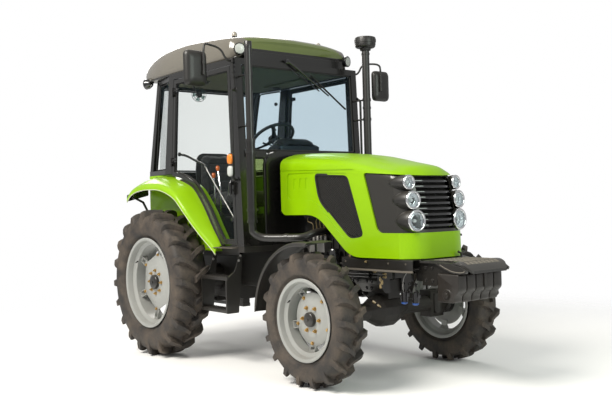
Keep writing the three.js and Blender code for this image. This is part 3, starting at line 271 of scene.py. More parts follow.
class Shape:
    """Points and faces of a piece while it is being made up; coat is the finish of the next faces."""

    def __init__(self):
        self.points, self.faces, self.coats, self.coat = [], [], [], 0

    def face(self, corners):
        self.faces.append(corners)
        self.coats.append(self.coat)

    def sheet(self, rows, wrap_rows=False, wrap_points=False, caps=False):
        rows = [[tuple(spotted(point)) for point in row] for row in rows]
        first, count = len(self.points), len(rows[0])
        for row in rows:
            self.points.extend(row)
        for i in range(len(rows) - (not wrap_rows)):
            a, b = first + i * count, first + (i + 1) % len(rows) * count
            for k in range(count - (not wrap_points)):
                self.face((a + k, a + (k + 1) % count, b + (k + 1) % count, b + k))
        if caps:
            self.face(tuple(range(first + count - 1, first - 1, -1)))
            self.face(tuple(range(len(self.points) - count, len(self.points))))
        return self

    def loft(self, rows):
        """Closed sections one after the other, with both ends capped."""
        return self.sheet(rows, wrap_points=True, caps=True)

    def hoop(self, rows):
        """Closed sections that run round and meet where they began."""
        return self.sheet(rows, wrap_rows=True, wrap_points=True)

    def turned(self, profile, place, axis=(0, 1, 0), steps=48):
        """A closed profile of (radius, along) pairs turned about an axis through place."""
        along, place = Vector(axis).normalized(), spotted(place)
        spoke = along.orthogonal().normalized()
        other = along.cross(spoke)
        rows = []
        for angle in turns(steps):
            out = spoke * cos(angle) + other * sin(angle)
            rows.append([place + out * radius + along * reach for radius, reach in profile])
        return self.hoop(rows)

    def spun(self, profile, place, axis, steps):
        """A solid turned about its own axis, where the profile starts and ends."""
        return self.turned([(0, profile[0][1]), *profile, (0, profile[-1][1])], place, axis, steps)

    def tube(self, path, radius, steps=12):
        """A round bar along a path; radius is one number or one for each point."""
        path = [spotted(point) for point in path]
        radii = radius if isinstance(radius, list) else [radius] * len(path)
        rows, spoke = [], None
        for i, point in enumerate(path):
            ahead = (path[min(i + 1, len(path) - 1)] - path[max(i - 1, 0)]).normalized()
            spoke = ahead.orthogonal() if spoke is None else spoke - ahead * spoke.dot(ahead)
            spoke.normalize()
            other = ahead.cross(spoke)
            rows.append([point + (spoke * cos(a) + other * sin(a)) * radii[i] for a in turns(steps)])
        return self.loft(rows)

    def slab(self, outline, low, high, put):
        """An outline of (u, v) pairs given thickness; put(u, v, w) says where that is."""
        return self.loft([[put(u, v, w) for u, v in outline] for w in (low, high)])

    def box(self, low, high):
        (x0, y0, z0), (x1, y1, z1) = low, high
        return self.slab([(x0, y0), (x1, y0), (x1, y1), (x0, y1)], z0, z1, lambda u, v, w: (u, v, w))

    def bolt(self, place, axis, size, rise):
        """A hexagon head on a washer."""
        self.spun([(size * 1.25, 0), (size * 1.25, rise * 0.25)], place, axis, 12)
        head = [(0, rise * 0.2), (size, rise * 0.2), (size, rise * 0.85), (size * 0.8, rise), (0, rise)]
        return self.turned(head, place, axis, 6)

    def made(self, name, body, finishes, slot=None, bevel=0.0, sharp=35):
        mesh = bpy.data.meshes.new(name)
        mesh.from_pydata(self.points, [], self.faces)
        for finish in finishes:
            mesh.materials.append(finish.material)
        mesh.polygons.foreach_set("material_index", self.coats)
        work = bmesh.new()
        work.from_mesh(mesh)
        bmesh.ops.remove_doubles(work, verts=work.verts, dist=2e-6)
        bmesh.ops.dissolve_degenerate(work, edges=work.edges, dist=1e-6)
        bmesh.ops.recalc_face_normals(work, faces=work.faces)
        work.to_mesh(mesh)
        work.free()
        return placed(bpy.data.objects.new(name, mesh), body, bevel, sharp)


def placed(item, body, bevel=0.0, sharp=35):
    """Links a piece, smooths it up to an edge angle, rounds its edges and lets it ride on its body."""
    if item.name not in bpy.context.scene.collection.objects:
        bpy.context.scene.collection.objects.link(item)
    item.data.polygons.foreach_set("use_smooth", [True] * len(item.data.polygons))
    item.data.set_sharp_from_angle(angle=radians(sharp))
    if bevel:
        soften(item, bevel)
    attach(item, body)
    return item


def smooth_line(points, per_span=4):
    """A smooth curve through all the points given."""
    padded = [2 * np.array(points[0]) - points[1], *map(np.array, points), 2 * np.array(points[-1]) - points[-2]]
    line = []
    for a, b, c, d in zip(padded, padded[1:], padded[2:], padded[3:]):
        for t in np.arange(per_span) / per_span:
            line.append(0.5 * (2 * b + (c - a) * t + (2 * a - 5 * b + 4 * c - d) * t**2
                               + (3 * b - a - 3 * c + d) * t**3))
    return [*line, np.array(points[-1], float)]


def tyre_section(radius, rim, half, bead_half):
    """One half of the carcass from the bead to the crown as (radius, along)."""
    wall = radius - rim
    return smooth_line([
        (rim - 0.012, bead_half - 0.012), (rim + 0.004, bead_half), (rim + 0.018, bead_half + 0.006),
        (rim + 0.2 * wall, half * 0.945), (rim + 0.45 * wall, half), (rim + 0.66 * wall, half * 0.985),
        (rim + 0.84 * wall, half * 0.9), (radius - 0.01, half * 0.66), (radius, 0.0),
    ], 4)


def tyre(name, node, body, rim, lugs, lug_height, lug_width):
    low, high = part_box(node)
    centre = (low + high) / 2
    radius, half = (high.z - low.z) / 2, (high.y - low.y) / 2
    crown = radius - lug_height
    # The beads stay inside the rim's flanges.
    section = tyre_section(crown, rim, half * 0.985, half * 0.72)
    whole = [*section, *[(r, -y) for r, y in reversed(section[:-1])]]
    made = Shape()
    made.turned(whole, centre, (0, 1, 0), 120)
    along = [y for _, y in reversed(section)]
    depth = [r for r, _ in reversed(section)]
    widest = next(i for i, y in enumerate(along) if y >= half * 0.96)
    base_at = lambda y: float(np.interp(abs(y), along[:widest + 1], depth[:widest + 1]))
    stations = 12
    for row in (1, -1):
        for i in range(lugs):
            start = tau * (i + (0.25 if row > 0 else -0.25)) / lugs
            rows = []
            for k in range(stations + 1):
                t = k / stations
                y = half * (-0.05 + 1.03 * t)
                sweep = (0.95 * t - 0.36 * t * t) * half / radius
                top = radius - lug_height * max(0.0, t - 0.55) ** 2 * 3.2
                if t > 0.93:
                    top -= (t - 0.93) / 0.07 * lug_height * 0.85
                base = base_at(min(y, along[widest])) - 0.006
                spread = 1.0 + 0.22 * t
                ring = []
                for share, lift in ((-0.72, 0.0), (-0.55, 0.72), (-0.46, 0.97), (0.46, 0.97), (0.55, 0.72),
                                    (0.72, 0.0)):
                    angle = start + sweep + share * lug_width * spread / radius
                    reach = base + (top - base) * (lift / 0.97)
                    ring.append(centre + Vector((cos(angle) * reach, row * y, sin(angle) * reach)))
                rows.append(ring)
            made.loft(rows)
    item = made.made(name, body, [tyre_rubber], "tyre", sharp=32)
    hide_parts(node)


tyre_rubber = Finish("tyre_rubber")
patches = tyre_rubber.noise(9.0, 6.0)
fine = tyre_rubber.noise(75.0, 4.0)
soiled = ((patches - 0.36) * 2.6 + (fine - 0.5) * 0.8).clamped()
tyre_rubber.set(Base_Color=tyre_rubber.blend(soiled, (0.03, 0.027, 0.025), (0.098, 0.078, 0.061)))
tyre_rubber.set(Roughness=(soiled * 0.25 + 0.56).clamped(), Specular_IOR_Level=0.35)
tyre_rubber.bump(fine, 0.35, 0.0015)

for side_name in sides:
    tyre(f"front_tread_{side_name}", f"front_tyre_{side_name}", f"front_road_wheel_{side_name}", 0.29, 18, 0.03, 0.032)
    tyre(f"rear_tread_{side_name}", f"rear_tyre_{side_name}", f"rear_road_wheel_{side_name}", 0.388, 20, 0.04, 0.042)

# -------- wheels
# Steel wheels: a rolled rim, a pressed disc set inside it and the bent brackets that join them,
# in light grey paint, with yellow zinc studs round a black hub cap and a valve in the rim.
rim_paint = painted("rim_paint", (0.34, 0.35, 0.335), 0.36, 0.2, 0.3)
hub_black = painted("hub_black", (0.01, 0.01, 0.01), 0.3, 0.3, 0.2)


def mottled(name, scale, first, second, **named):
    """A bare surface that wanders between two colours."""
    made = Finish(name)
    return made.set(Base_Color=made.blend(made.noise(scale), first, second), **named)


zinc = mottled("yellow_zinc", 60.0, (0.62, 0.42, 0.16), (0.45, 0.28, 0.1), Metallic=0.9, Roughness=0.34)


def wheel(end, side_name, rim, disc, disc_y, brackets, first, flats, studs, stud_circle, hub, half_width):
    """half_width is from the wheel's middle to its flanges; disc_y is how far out the disc stands; the first
    bracket is at the angle first, up from the nose, and flats says that the disc is cut straight between them."""
    side = sides[side_name]
    low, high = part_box(f"{end}_tyre_{side_name}")
    middle = (low + high) / 2
    outward = Vector((0, side, 0))
    spoke = lambda angle: Vector((cos(angle), 0, sin(angle)))
    made = Shape()
    base, well = rim - 0.022, rim - 0.056
    lip = half_width + 0.004
    outer = [
        (rim - 0.004, lip + 0.003), (rim + 0.001, lip - 0.001), (rim - 0.001, lip - 0.007),
        (base + 0.006, half_width - 0.002), (base, half_width - 0.012), (base - 0.006, half_width * 0.62),
        (well, half_width * 0.46), (well, 0.0),
    ]
    sheet = 0.006
    inner = [(r - sheet, a) for r, a in outer[5:]]
    inner = [*reversed(inner), (base - sheet - 0.001, half_width - 0.01), (base - 0.002, lip - 0.002),
             (rim - 0.01, lip + 0.003)]
    # The list runs round the outside of one flange, across the well and round the other.
    profile = [*reversed(outer), *reversed(inner)]
    other_half = [(r, -a) for r, a in reversed(profile)]
    made.turned([*profile, *other_half], middle, outward, 96)
    plate = [
        (hub * 0.9, disc_y + 0.006), (disc * 0.62, disc_y + 0.006), (disc * 0.7, disc_y + 0.002),
        (disc * 0.8, disc_y - 0.006), (disc * 0.965, disc_y - 0.01), (disc, disc_y - 0.015),
        (disc - 0.003, disc_y - 0.022), (disc * 0.8, disc_y - 0.018), (disc * 0.62, disc_y - 0.006),
        (hub * 0.9, disc_y - 0.006),
    ]
    rows = []
    for angle in turns(120):
        off = (angle - radians(first) + pi / brackets) % (tau / brackets) - pi / brackets
        # Straight between the brackets, with the corners a little rounded.
        trim = min(0.98, cos(pi / brackets) / cos(pi / brackets - abs(off))) if flats else 1.0
        out = spoke(angle)
        rows.append([middle + out * (r if r < disc * 0.6 else r * trim) + outward * a for r, a in plate])
    made.hoop(rows)
    for i in range(brackets):
        angle = radians(first) + tau * i / brackets
        out, across = spoke(angle), spoke(angle + pi / 2)
        put = lambda u, v, w: middle + out * u + outward * v + across * w
        # Bent plate: flat on the disc's edge, then turned up along the rim's well.
        bent = [(disc - 0.034, disc_y - 0.03), (disc + 0.012, disc_y - 0.03), (well - 0.012, disc_y - 0.052),
                (well - 0.007, disc_y - 0.052), (well - 0.007, disc_y - 0.006), (well - 0.016, disc_y - 0.006),
                (well - 0.02, disc_y - 0.038), (disc + 0.008, disc_y - 0.018), (disc - 0.034, disc_y - 0.018)]
        made.slab(bent, -0.027, 0.027, put)
        for w in (-0.027, 0.022):
            rib = [(disc + 0.004, disc_y - 0.02), (well - 0.018, disc_y - 0.04), (well - 0.01, disc_y - 0.004),
                   (disc + 0.014, disc_y - 0.01)]
            made.slab(rib, w, w + 0.005, put)
        made.coat = 1
        made.bolt(put(disc - 0.019, disc_y - 0.01, 0), outward, 0.011, 0.014)
        made.coat = 0
    for i in range(studs):
        seat = middle + spoke(tau * i / studs) * stud_circle + outward * (disc_y + 0.006)
        made.coat = 1
        made.bolt(seat, outward, 0.0115, 0.016)
        made.turned([(0, 0.014), (0.0062, 0.014), (0.0062, 0.024), (0, 0.025)], seat, outward, 10)
    made.coat = 2
    cap = smooth_line([(hub, disc_y + 0.002), (hub, disc_y + 0.022), (hub * 0.93, disc_y + 0.034),
                       (hub * 0.6, disc_y + 0.04), (hub * 0.25, disc_y + 0.041), (0, disc_y + 0.041)], 3)
    made.turned([*cap, (0, disc_y + 0.002)], middle, outward, 40)
    made.turned([(0, disc_y + 0.04), (hub * 0.22, disc_y + 0.04), (hub * 0.2, disc_y + 0.046), (0, disc_y + 0.046)],
                middle, outward, 6)
    valve = middle + spoke(2.6) * (well - 0.004) + outward * (half_width * 0.5)
    tip = valve + outward * 0.03 - spoke(2.6) * 0.018
    made.tube([valve, valve.lerp(tip, 0.5), tip], [0.006, 0.005, 0.004], 10)
    item = made.made(f"{end}_rim_{side_name}", f"{end}_road_wheel_{side_name}", [rim_paint, zinc, hub_black], "rim",
                     sharp=40)
    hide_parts(f"{end}_wheel_{side_name}")


for side_name in sides:
    wheel("front", side_name, 0.29, 0.187, 0.005, 5, 51, False, 6, 0.089, 0.052, 0.086)
    wheel("rear", side_name, 0.388, 0.258, 0.035, 6, 24, True, 8, 0.1, 0.062, 0.124)

# -------- bonnet
# One pressed steel bonnet hinged at its rear edge: a crowned top, sides that sweep down to a band round the
# nose, and openings for the side vents and the grille. The skin is 5 mm sheet in glossy lime paint.
green_paint = painted("green_paint", (0.25, 0.475, 0.001), 0.3, 0.22, 0.1)
green_paint.set(Specular_IOR_Level=0.22)


def rounded(corners, radius, steps=6):
    """An outline whose corners are rounded; radius is one number or one for each corner."""
    radii = radius if isinstance(radius, list) else [radius] * len(corners)
    line = []
    for i, corner in enumerate(corners):
        here = Vector(corner)
        before, after = Vector(corners[i - 1]) - here, Vector(corners[(i + 1) % len(corners)]) - here
        reach = min(radii[i], before.length * 0.48, after.length * 0.48)
        enter, leave = here + before.normalized() * reach, here + after.normalized() * reach
        for t in np.arange(steps + 1) / steps if reach else [0.0]:
            line.append(tuple(enter * (1 - t) ** 2 + here * 2 * t * (1 - t) + leave * t * t))
    return line


def oblong(u0, v0, u1, v1, radius, steps=6):
    """A rectangle from corner to corner, with its corners rounded."""
    return rounded([(u0, v0), (u1, v0), (u1, v1), (u0, v1)], radius, steps)


def side_on(side=1):
    """Puts an outline drawn in side view: its thickness runs across, towards the given side."""
    return lambda u, v, w: spot(u, side * w, v)


def grown(outline, distance):
    """An outline moved outwards by a distance, or inwards by a negative one."""
    points = [Vector(p) for p in outline]
    turn = sum(a.x * b.y - b.x * a.y for a, b in zip(points, [*points[1:], points[0]]))
    moved = []
    for i, here in enumerate(points):
        edges = [(here - points[i - 1]).normalized(), (points[(i + 1) % len(points)] - here).normalized()]
        first, second = (Vector((edge.y, -edge.x)) * math.copysign(1, turn) for edge in edges)
        out = (first + second).normalized()
        moved.append(tuple(here + out * distance / max(0.5, out.dot(first))))
    return moved


def blank(shape):
    """A shape as a plain object that is cut, or only serves for cutting."""
    mesh = bpy.data.meshes.new("blank")
    mesh.from_pydata(shape.points, [], shape.faces)
    work = bmesh.new()
    work.from_mesh(mesh)
    bmesh.ops.remove_doubles(work, verts=work.verts, dist=1e-6)
    bmesh.ops.recalc_face_normals(work, faces=work.faces)
    work.to_mesh(mesh)
    work.free()
    item = bpy.data.objects.new("blank", mesh)
    bpy.context.scene.collection.objects.link(item)
    return item


def across(outline):
    """A closed prism across the tractor from an outline in side view."""
    return blank(Shape().slab(outline, -0.5, 0.5, side_on()))


def settle(item):
    """Makes what the modifiers show the real mesh."""
    bpy.context.view_layer.update()
    mesh = bpy.data.meshes.new_from_object(item.evaluated_get(bpy.context.evaluated_depsgraph_get()))
    item.modifiers.clear()
    item.data = mesh


def carve(item, tool, how="DIFFERENCE"):
    """Cuts a tool out of a closed piece, or intersects them; the tool is used up."""
    step = item.modifiers.new("carve", "BOOLEAN")
    step.object, step.operation, step.solver = tool, how, "MANIFOLD"
    settle(item)
    bpy.data.objects.remove(tool)
    return item


def finished(item, name, body, finishes, bevel=0.0, sharp=30):
    """Gives a carved piece its name, finishes and body."""
    item.name = name
    work = bmesh.new()
    work.from_mesh(item.data)
    bmesh.ops.remove_doubles(work, verts=work.verts, dist=2e-5)
    bmesh.ops.dissolve_limit(work, angle_limit=radians(0.4), verts=work.verts, edges=work.edges)
    work.to_mesh(item.data)
    work.free()
    wear(item, *finishes)
    return placed(item, body, bevel, sharp)


nose_tip = 2.582
bonnet_low = 0.7
# x, half width, shoulder and crown heights along the bonnet.
bonnet_lines = np.array(smooth_line([
    (1.165, 0.345, 1.622, 1.69), (1.5, 0.336, 1.604, 1.674), (1.85, 0.325, 1.572, 1.642), (2.15, 0.314, 1.528, 1.6),
    (2.4, 0.304, 1.484, 1.556), (2.7, 0.294, 1.42, 1.49)], 8))
# The nose in plan: how far behind the tip it is how wide.
nose_plan = np.array(smooth_line([(0.0, 0.0), (0.0, 0.105), (0.016, 0.184), (0.05, 0.246), (0.1, 0.288),
                                  (0.17, 0.312), (0.32, 0.322)], 8))
# How far the nose leans back at each height.
nose_lean = np.array(smooth_line([(0.82, 0.0), (1.0, -0.002), (1.25, -0.026), (1.43, -0.066), (1.75, -0.142)], 6))


def lean_at(z):
    return float(np.interp(z, nose_lean[:, 0], nose_lean[:, 1]))


def shell(made, rows):
    """A loft whose sections run up one side and down the other; its ends are closed by bands from side to side."""
    made.sheet(rows, wrap_points=True)
    count, top = len(rows[0]), len(rows[0]) // 2
    for first in (len(made.points) - len(rows) * count, len(made.points) - count):
        for k in range(top - 1):
            made.face((first + k, first + k + 1, first + count - 2 - k, first + count - 1 - k))
        made.face((first + top - 1, first + top, first + top + 1))
    return made


def bonnet_volume(inset=0.0, rear=1.165):
    """The bonnet as a solid with all its sides moved inwards."""
    tip = nose_tip - inset
    behind = [d for d, half in nose_plan if half > 0.105 and d < 0.15]
    made, rows = Shape(), []
    for x in [*np.arange(rear, tip - 0.155, 0.03), *[tip - d for d in sorted(set(behind), reverse=True)]]:
        half, shoulder, crown = (np.interp(x, bonnet_lines[:, 0], bonnet_lines[:, i]) for i in (1, 2, 3))
        half = min(half, np.interp(tip - x, nose_plan[8:, 0], nose_plan[8:, 1])) - inset
        drop = 0.075
        into = max(0.0, x - (tip - drop))
        fall = inset + drop - math.sqrt(max(0.0, drop ** 2 - into ** 2))
        shoulder, crown = shoulder - fall, crown - fall
        side = smooth_line([
            (half, bonnet_low - inset), (half, shoulder - 0.14), (half, shoulder - 0.06),
            (half - 0.003, shoulder - 0.022), (half - 0.017, shoulder + 0.004), (half - 0.05, shoulder + 0.024),
            (half * 0.5, crown - 0.012), (0.0, crown)], 4)
        line = [*side, *[(-y, z) for y, z in reversed(side[:-1])]]
        forward = min(1.0, max(0.0, (x - 1.9) / 0.5))
        ease = forward * forward * (3 - 2 * forward)
        rows.append([spot(x + lean_at(z) * ease, y, z) for y, z in line])
    return blank(shell(made, rows))


def bonnet_layer(outside, inside):
    """The part of the bonnet's thickness between two depths."""
    return carve(bonnet_volume(outside), bonnet_volume(inside, 1.05))


vent_outline = rounded([(1.632, 1.302), (1.962, 1.01), (2.108, 1.03), (1.955, 1.476), (1.592, 1.498)],
                       [0.07, 0.05, 0.045, 0.045, 0.035])
# The pressed step that runs round the panel and the vent and leaves a raised band below them.
step_outline = rounded([(1.256, 1.318), (1.585, 1.31), (1.938, 0.992), (2.112, 1.016), (1.962, 1.484), (1.592, 1.506),
                        (1.256, 1.512)], [0.03, 0.08, 0.06, 0.05, 0.045, 0.02, 0.03])
nose_outline = rounded([(2.25, 1.057), (2.75, 1.057), (2.75, 1.44), (2.5, 1.452), (2.39, 1.464), (2.12, 1.486)],
                       [0.05, 0, 0, 0, 0, 0.03])
below = rounded([(1.05, 0.6), (2.8, 0.6), (2.8, 0.88), (1.975, 0.88), (1.6, 1.19), (1.2, 1.19),
                 (1.165, 1.225), (1.05, 1.225)], [0, 0, 0, 0.1, 0.12, 0.025, 0.01, 0])

bonnet = bonnet_layer(0.0, 0.012)
for outline in (below, vent_outline, nose_outline):
    carve(bonnet, across(outline))
# The parting line that runs along each side under the shoulder.
seam = carve(bonnet_layer(-0.002, 0.006), across([(1.1, 1.549), (2.02, 1.515), (2.02, 1.5105), (1.1, 1.5445)]),
             "INTERSECT")
carve(bonnet, seam)
for out, deep in ((0.009, 0.0014), (0.006, 0.0034), (0.003, 0.005), (0.0, 0.0058)):
    carve(bonnet, carve(bonnet_layer(-0.002, deep), across(grown(step_outline, out)), "INTERSECT"))
# Three upright flutes pressed into the panel behind each vent.
for i in range(3):
    flute = 1.345 + i * 0.072
    groove = oblong(flute - 0.016, 1.392, flute + 0.016, 1.468, 0.01)
    for out, deep in ((0.007, 0.007), (0.004, 0.0086), (0.0, 0.0096)):
        carve(bonnet, carve(bonnet_layer(-0.002, deep), across(grown(groove, out)), "INTERSECT"))
finished(bonnet, "bonnet_skin", "bonnet", [green_paint], bevel=0.002)
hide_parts("bonnet")

# -------- side vents
# Woven steel mesh behind each side opening, on a black moulded frame clipped inside the skin.
moulded = painted("moulded_black", (0.014, 0.0132, 0.012), 0.42, 0.1, 0.35, grain=0.12)
shadow_black = painted("shadow_black", (0.004, 0.004, 0.004), 0.75, 0.0, 0.3)


def inside(u, v, outline):
    """Whether (u, v) lies in an outline, by counting the edges to its right."""
    hits = 0
    for (a, b), (c, d) in zip(outline, [*outline[1:], outline[0]]):
        if (b > v) != (d > v) and u < a + (v - b) * (c - a) / (d - b):
            hits += 1
    return hits % 2 == 1


def half_at(x):
    return float(np.interp(x, bonnet_lines[:, 0], bonnet_lines[:, 1]))


for side_name, side in sides.items():
    made = Shape()
    made.coat = 1
    made.slab(grown(vent_outline, 0.012), 0.03, 0.032, lambda u, v, w: spot(u, side * (half_at(u) - w), v))
    made.coat = 0
    dense = [tuple(Vector(a).lerp(Vector(b), k / 12))
             for a, b in zip(vent_outline, [*vent_outline[1:], vent_outline[0]])
             for k in range(12 if (Vector(a) - Vector(b)).length > 0.05 else 1)]
    rows = []
    for (u0, v0), (u1, v1) in zip(grown(dense, 0.008), grown(dense, -0.008)):
        rows.append([spot(u0, side * (half_at(u0) - 0.0126), v0), spot(u1, side * (half_at(u1) - 0.0126), v1),
                     spot(u1, side * (half_at(u1) - 0.026), v1), spot(u0, side * (half_at(u0) - 0.026), v0)])
    made.hoop(rows)
    pitch = 0.013
    for slant in (1, -1):
        for i in range(-80, 80):
            run = []
            for k in range(121):
                u = 1.5 + k * 0.005
                v = 1.27 + slant * (u - 1.8) + i * pitch * 1.414
                if inside(u, v, vent_outline):
                    run.append(spot(u, side * (half_at(u) - 0.019 - slant * 0.0012), v))
            if len(run) > 1:
                made.tube(run[::6] if len(run) > 12 else [run[0], run[-1]], 0.0016, 5)
    vent = made.made(f"vent_mesh_{side_name}", "bonnet", [moulded, shadow_black], "plastic")
    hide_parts(f"side_vent_{side_name}")

# -------- nose and grille
# A charcoal moulding wraps round the nose inside the bonnet's opening. Glossy curved bars stand across the
# air intake in its middle, and three lamps sit one above the other on each side.
charcoal = painted("charcoal_moulding", (0.02, 0.0185, 0.015), 0.32, 0.35, 0.2, grain=0.1)
gloss_black = painted("gloss_black", (0.006, 0.006, 0.007), 0.12, 0.9, 0.08)


def front_on(side=1):
    """Puts an outline drawn from the front: its thickness runs along the tractor."""
    return lambda u, v, w: spot(w, side * u, v)


intake = rounded([(-0.178, 1.078), (0.178, 1.078), (0.182, 1.444), (-0.182, 1.444)], 0.03)
nose = carve(bonnet_layer(0.0115, 0.017), across(grown(nose_outline, 0.013)), "INTERSECT")
carve(nose, blank(Shape().slab(intake, 2.3, 2.75, front_on())))
finished(nose, "nose_moulding", "bonnet", [charcoal], bevel=0.0018)
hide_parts("grille")


def face_at(y, z, inset=0.0):
    """Where the front of the nose is at a place across and up."""
    back = float(np.interp(abs(y), nose_plan[:, 1], nose_plan[:, 0]))
    return nose_tip - back + lean_at(z) - inset


bars = Shape()
for i in range(9):
    z = 1.104 + i * 0.0385
    rows = []
    for k in range(33):
        y = -0.196 + 0.392 * k / 32
        x = face_at(y, z, 0.006) - 0.022 * (y / 0.19) ** 2
        ring = [(0.0, 0.0), (-0.002, 0.0075), (-0.01, 0.0095), (-0.04, 0.0045), (-0.04, -0.0045), (-0.01, -0.0095),
                (-0.002, -0.0075)]
        rows.append([spot(x + u, y, z + v + u * 0.35) for u, v in ring])
    bars.loft(rows)
bars.made("grille_bars", "bonnet", [gloss_black], "plastic", bevel=0.0008)

screen = Shape()
screen.sheet([[spot(face_at(y, z, 0.062), y, z) for z in np.linspace(1.06, 1.45, 12)]
              for y in np.linspace(-0.2, 0.2, 13)])
screen.coat = 1
for i in range(31):
    y = -0.184 + i * 0.0123
    screen.tube([(face_at(y, z, 0.056), y, z) for z in np.linspace(1.075, 1.445, 9)], 0.0014, 5)
for i in range(32):
    z = 1.08 + i * 0.0115
    screen.tube([(face_at(y, z, 0.058), y, z) for y in np.linspace(-0.188, 0.188, 9)], 0.0014, 5)
screen.made("grille_screen", "bonnet", [shadow_black, moulded], "plastic")

# -------- headlamps
# Round lamps of 100, 125 and 150 mm: a black pod, a chromed ring, a bright reflector with its bulb and a
# clear domed lens held by the ring.


def glassy(name, tint, film, body_colour=(0.02, 0.03, 0.035)):
    """Clear glass: see-through face on and shiny edge on, with a film that says how much it veils."""
    made = Finish(name)
    made.set(Base_Color=body_colour, Roughness=0.03)
    edge_on = made.node("ShaderNodeLayerWeight", {}, out="Facing", Blend=0.5)
    return made.seen_through((edge_on**4 * 0.7 + made.noise(1.7) * film + 0.015).clamped(), tint, first=True)


def circle(u, v, radius, steps):
    return [(u + radius * cos(angle), v + radius * sin(angle)) for angle in turns(steps)]


lens_glass = glassy("lens_glass", (0.95, 0.97, 0.98), 0.06, (0.55, 0.6, 0.63))
# Near-white, with light and dark facets: painted highlights and streaks of a silvered reflector, over a faceted bump.
reflector = Finish("reflector")
facet_highlights = reflector.node("ShaderNodeTexVoronoi", {"feature": "F1"}, out="Distance", Vector=reflector.place(),
                        Scale=60.0)
reflector.set(Base_Color=reflector.blend(facet_highlights, (0.98, 0.98, 0.99), (0.74, 0.75, 0.78)), Metallic=0.1)
reflector.set(Roughness=facet_highlights * 0.15 + 0.1).bump(facet_highlights, 0.7, 0.006)
chrome = mottled("chrome", 14.0, (0.8, 0.81, 0.82), (0.66, 0.67, 0.69), Metallic=1.0)
chrome.set(Roughness=chrome.noise(40.0) * 0.1 + 0.04)
bulb = mottled("bulb_glass", 90.0, (0.8, 0.8, 0.78), (0.55, 0.55, 0.52), Roughness=0.15)

lamp_places = [(2.488, 0.242, 1.403, 0.049), (2.518, 0.236, 1.281, 0.061), (2.533, 0.221, 1.139, 0.073)]
for side_name, side in sides.items():
    for i, (x, y, z, radius) in enumerate(lamp_places):
        aim = Vector((0.99, side * 0.1, 0.0)).normalized()
        place = spot(x + 0.004, side * y, z)
        made = Shape()
        # The pod is a teardrop that tapers back along the side of the nose.
        pod = np.array(smooth_line([(1.02, 0.004), (1.07, -0.012), (1.03, -0.045), (0.86, -0.085), (0.55, -0.125),
                                    (0.15, -0.15)], 4))
        rows = []
        for share, back in [(0.9, 0.002), *pod, (0.01, -0.152)]:
            middle = place + aim * back + Vector((0, -side * 0.35 * back, 0))
            rows.append([middle + Vector((0, cos(a), sin(a))) * radius * share for a in turns(40)])
        made.sheet(rows, wrap_points=True)
        made.coat = 1
        made.turned(circle(radius - 0.005, 0.008, 0.0095, 12), place, aim, 48)
        made.coat = 2
        bowl = [(r, -0.03 + 0.032 * (r / (radius - 0.008)) ** 2) for r in np.linspace(0.012, radius - 0.008, 9)]
        made.turned([*bowl, *[(r, a - 0.002) for r, a in reversed(bowl)]], place, aim, 40)
        made.coat = 1
        made.turned(circle(radius * 0.52, -0.014, 0.003, 8), place, aim, 36)
        made.coat = 3
        made.turned([(0, -0.034), (0.013, -0.032), (0.013, -0.014), (0.01, -0.007), (0, -0.004)], place, aim, 16)
        made.made(f"lamp_{side_name}_{i + 1}", "bonnet", [moulded, chrome, reflector, bulb], "plastic", sharp=40)
        cover = Shape()
        dome = [(r, 0.006 + 0.01 * (1 - (r / (radius - 0.006)) ** 2)) for r in np.linspace(0, radius - 0.006, 8)]
        cover.turned([*dome, *[(r, a - 0.0022) for r, a in reversed(dome)]], place, aim, 40)
        cover.made(f"lamp_lens_{side_name}_{i + 1}", "bonnet", [lens_glass], "glass", sharp=60)

# -------- cab frame
# A welded frame of folded and square steel tube in satin black, with the cowl arch and firewall in front.
# Its windows sit in rubber beads, and a fabric headliner hangs under the roof.
cab_black = painted("cab_black", (0.0085, 0.008, 0.0072), 0.26, 0.45, 0.22)
dress(cab_black, "cab_frame", bevel=0.004)

lining = Finish("headliner_fabric")
weave = lining.noise(260.0, 2.0)
lining.set(Base_Color=lining.blend(weave, (0.075, 0.078, 0.04), (0.115, 0.118, 0.064)), Roughness=0.9)
lining.bump(weave, 0.4, 0.001)
made = Shape()
made.slab(rounded([(-0.3, -0.52), (1.0, -0.575), (1.0, 0.575), (-0.3, 0.52)], 0.08), 2.402, 2.446, spot)
for side in (1, -1):
    made.slab(oblong(0.1, side * 0.3, 0.7, side * 0.5, 0.05), 2.386, 2.404, spot)
made.made("headliner", "chassis", [lining], "plastic", bevel=0.008)

# Air outlets, and the fan that hangs beside the rear post.
made = Shape()
for x, y in ((0.72, -0.4), (0.72, 0.4), (0.2, -0.4), (0.2, 0.4)):
    made.spun([(0.038, 2.372), (0.046, 2.378), (0.048, 2.388)], (x, y, 0), (0, 0, 1), 24)
    for k in range(4):
        made.box((x - 0.03, y - 0.024 + k * 0.014, 2.364), (x + 0.03, y - 0.02 + k * 0.014, 2.376))
made.tube([(0.236, -0.545, 2.33), (0.236, -0.52, 2.3), (0.236, -0.5, 2.262)], 0.008)
aim = Vector((0.75, -0.55, -0.1)).normalized()
fan = spot(0.225, -0.48, 2.262)
for grow in (1.0, 0.72, 0.44):
    made.turned(circle(0.062 * grow, 0.024 * (1.2 - grow), 0.0022, 6), fan, aim, 36)
made.turned([(0.0, -0.03), (0.02, -0.03), (0.024, 0.004), (0.016, 0.018), (0.0, 0.02)], fan, aim, 20)
for angle in turns(12):
    out = Matrix.Rotation(angle, 3, aim) @ aim.orthogonal().normalized()
    made.tube([fan + aim * 0.02, fan + out * 0.03 + aim * 0.018, fan + out * 0.062 + aim * 0.004], 0.0012, 5)
made.made("cab_roof_fittings", "chassis", [moulded], "plastic")
blades = Shape()
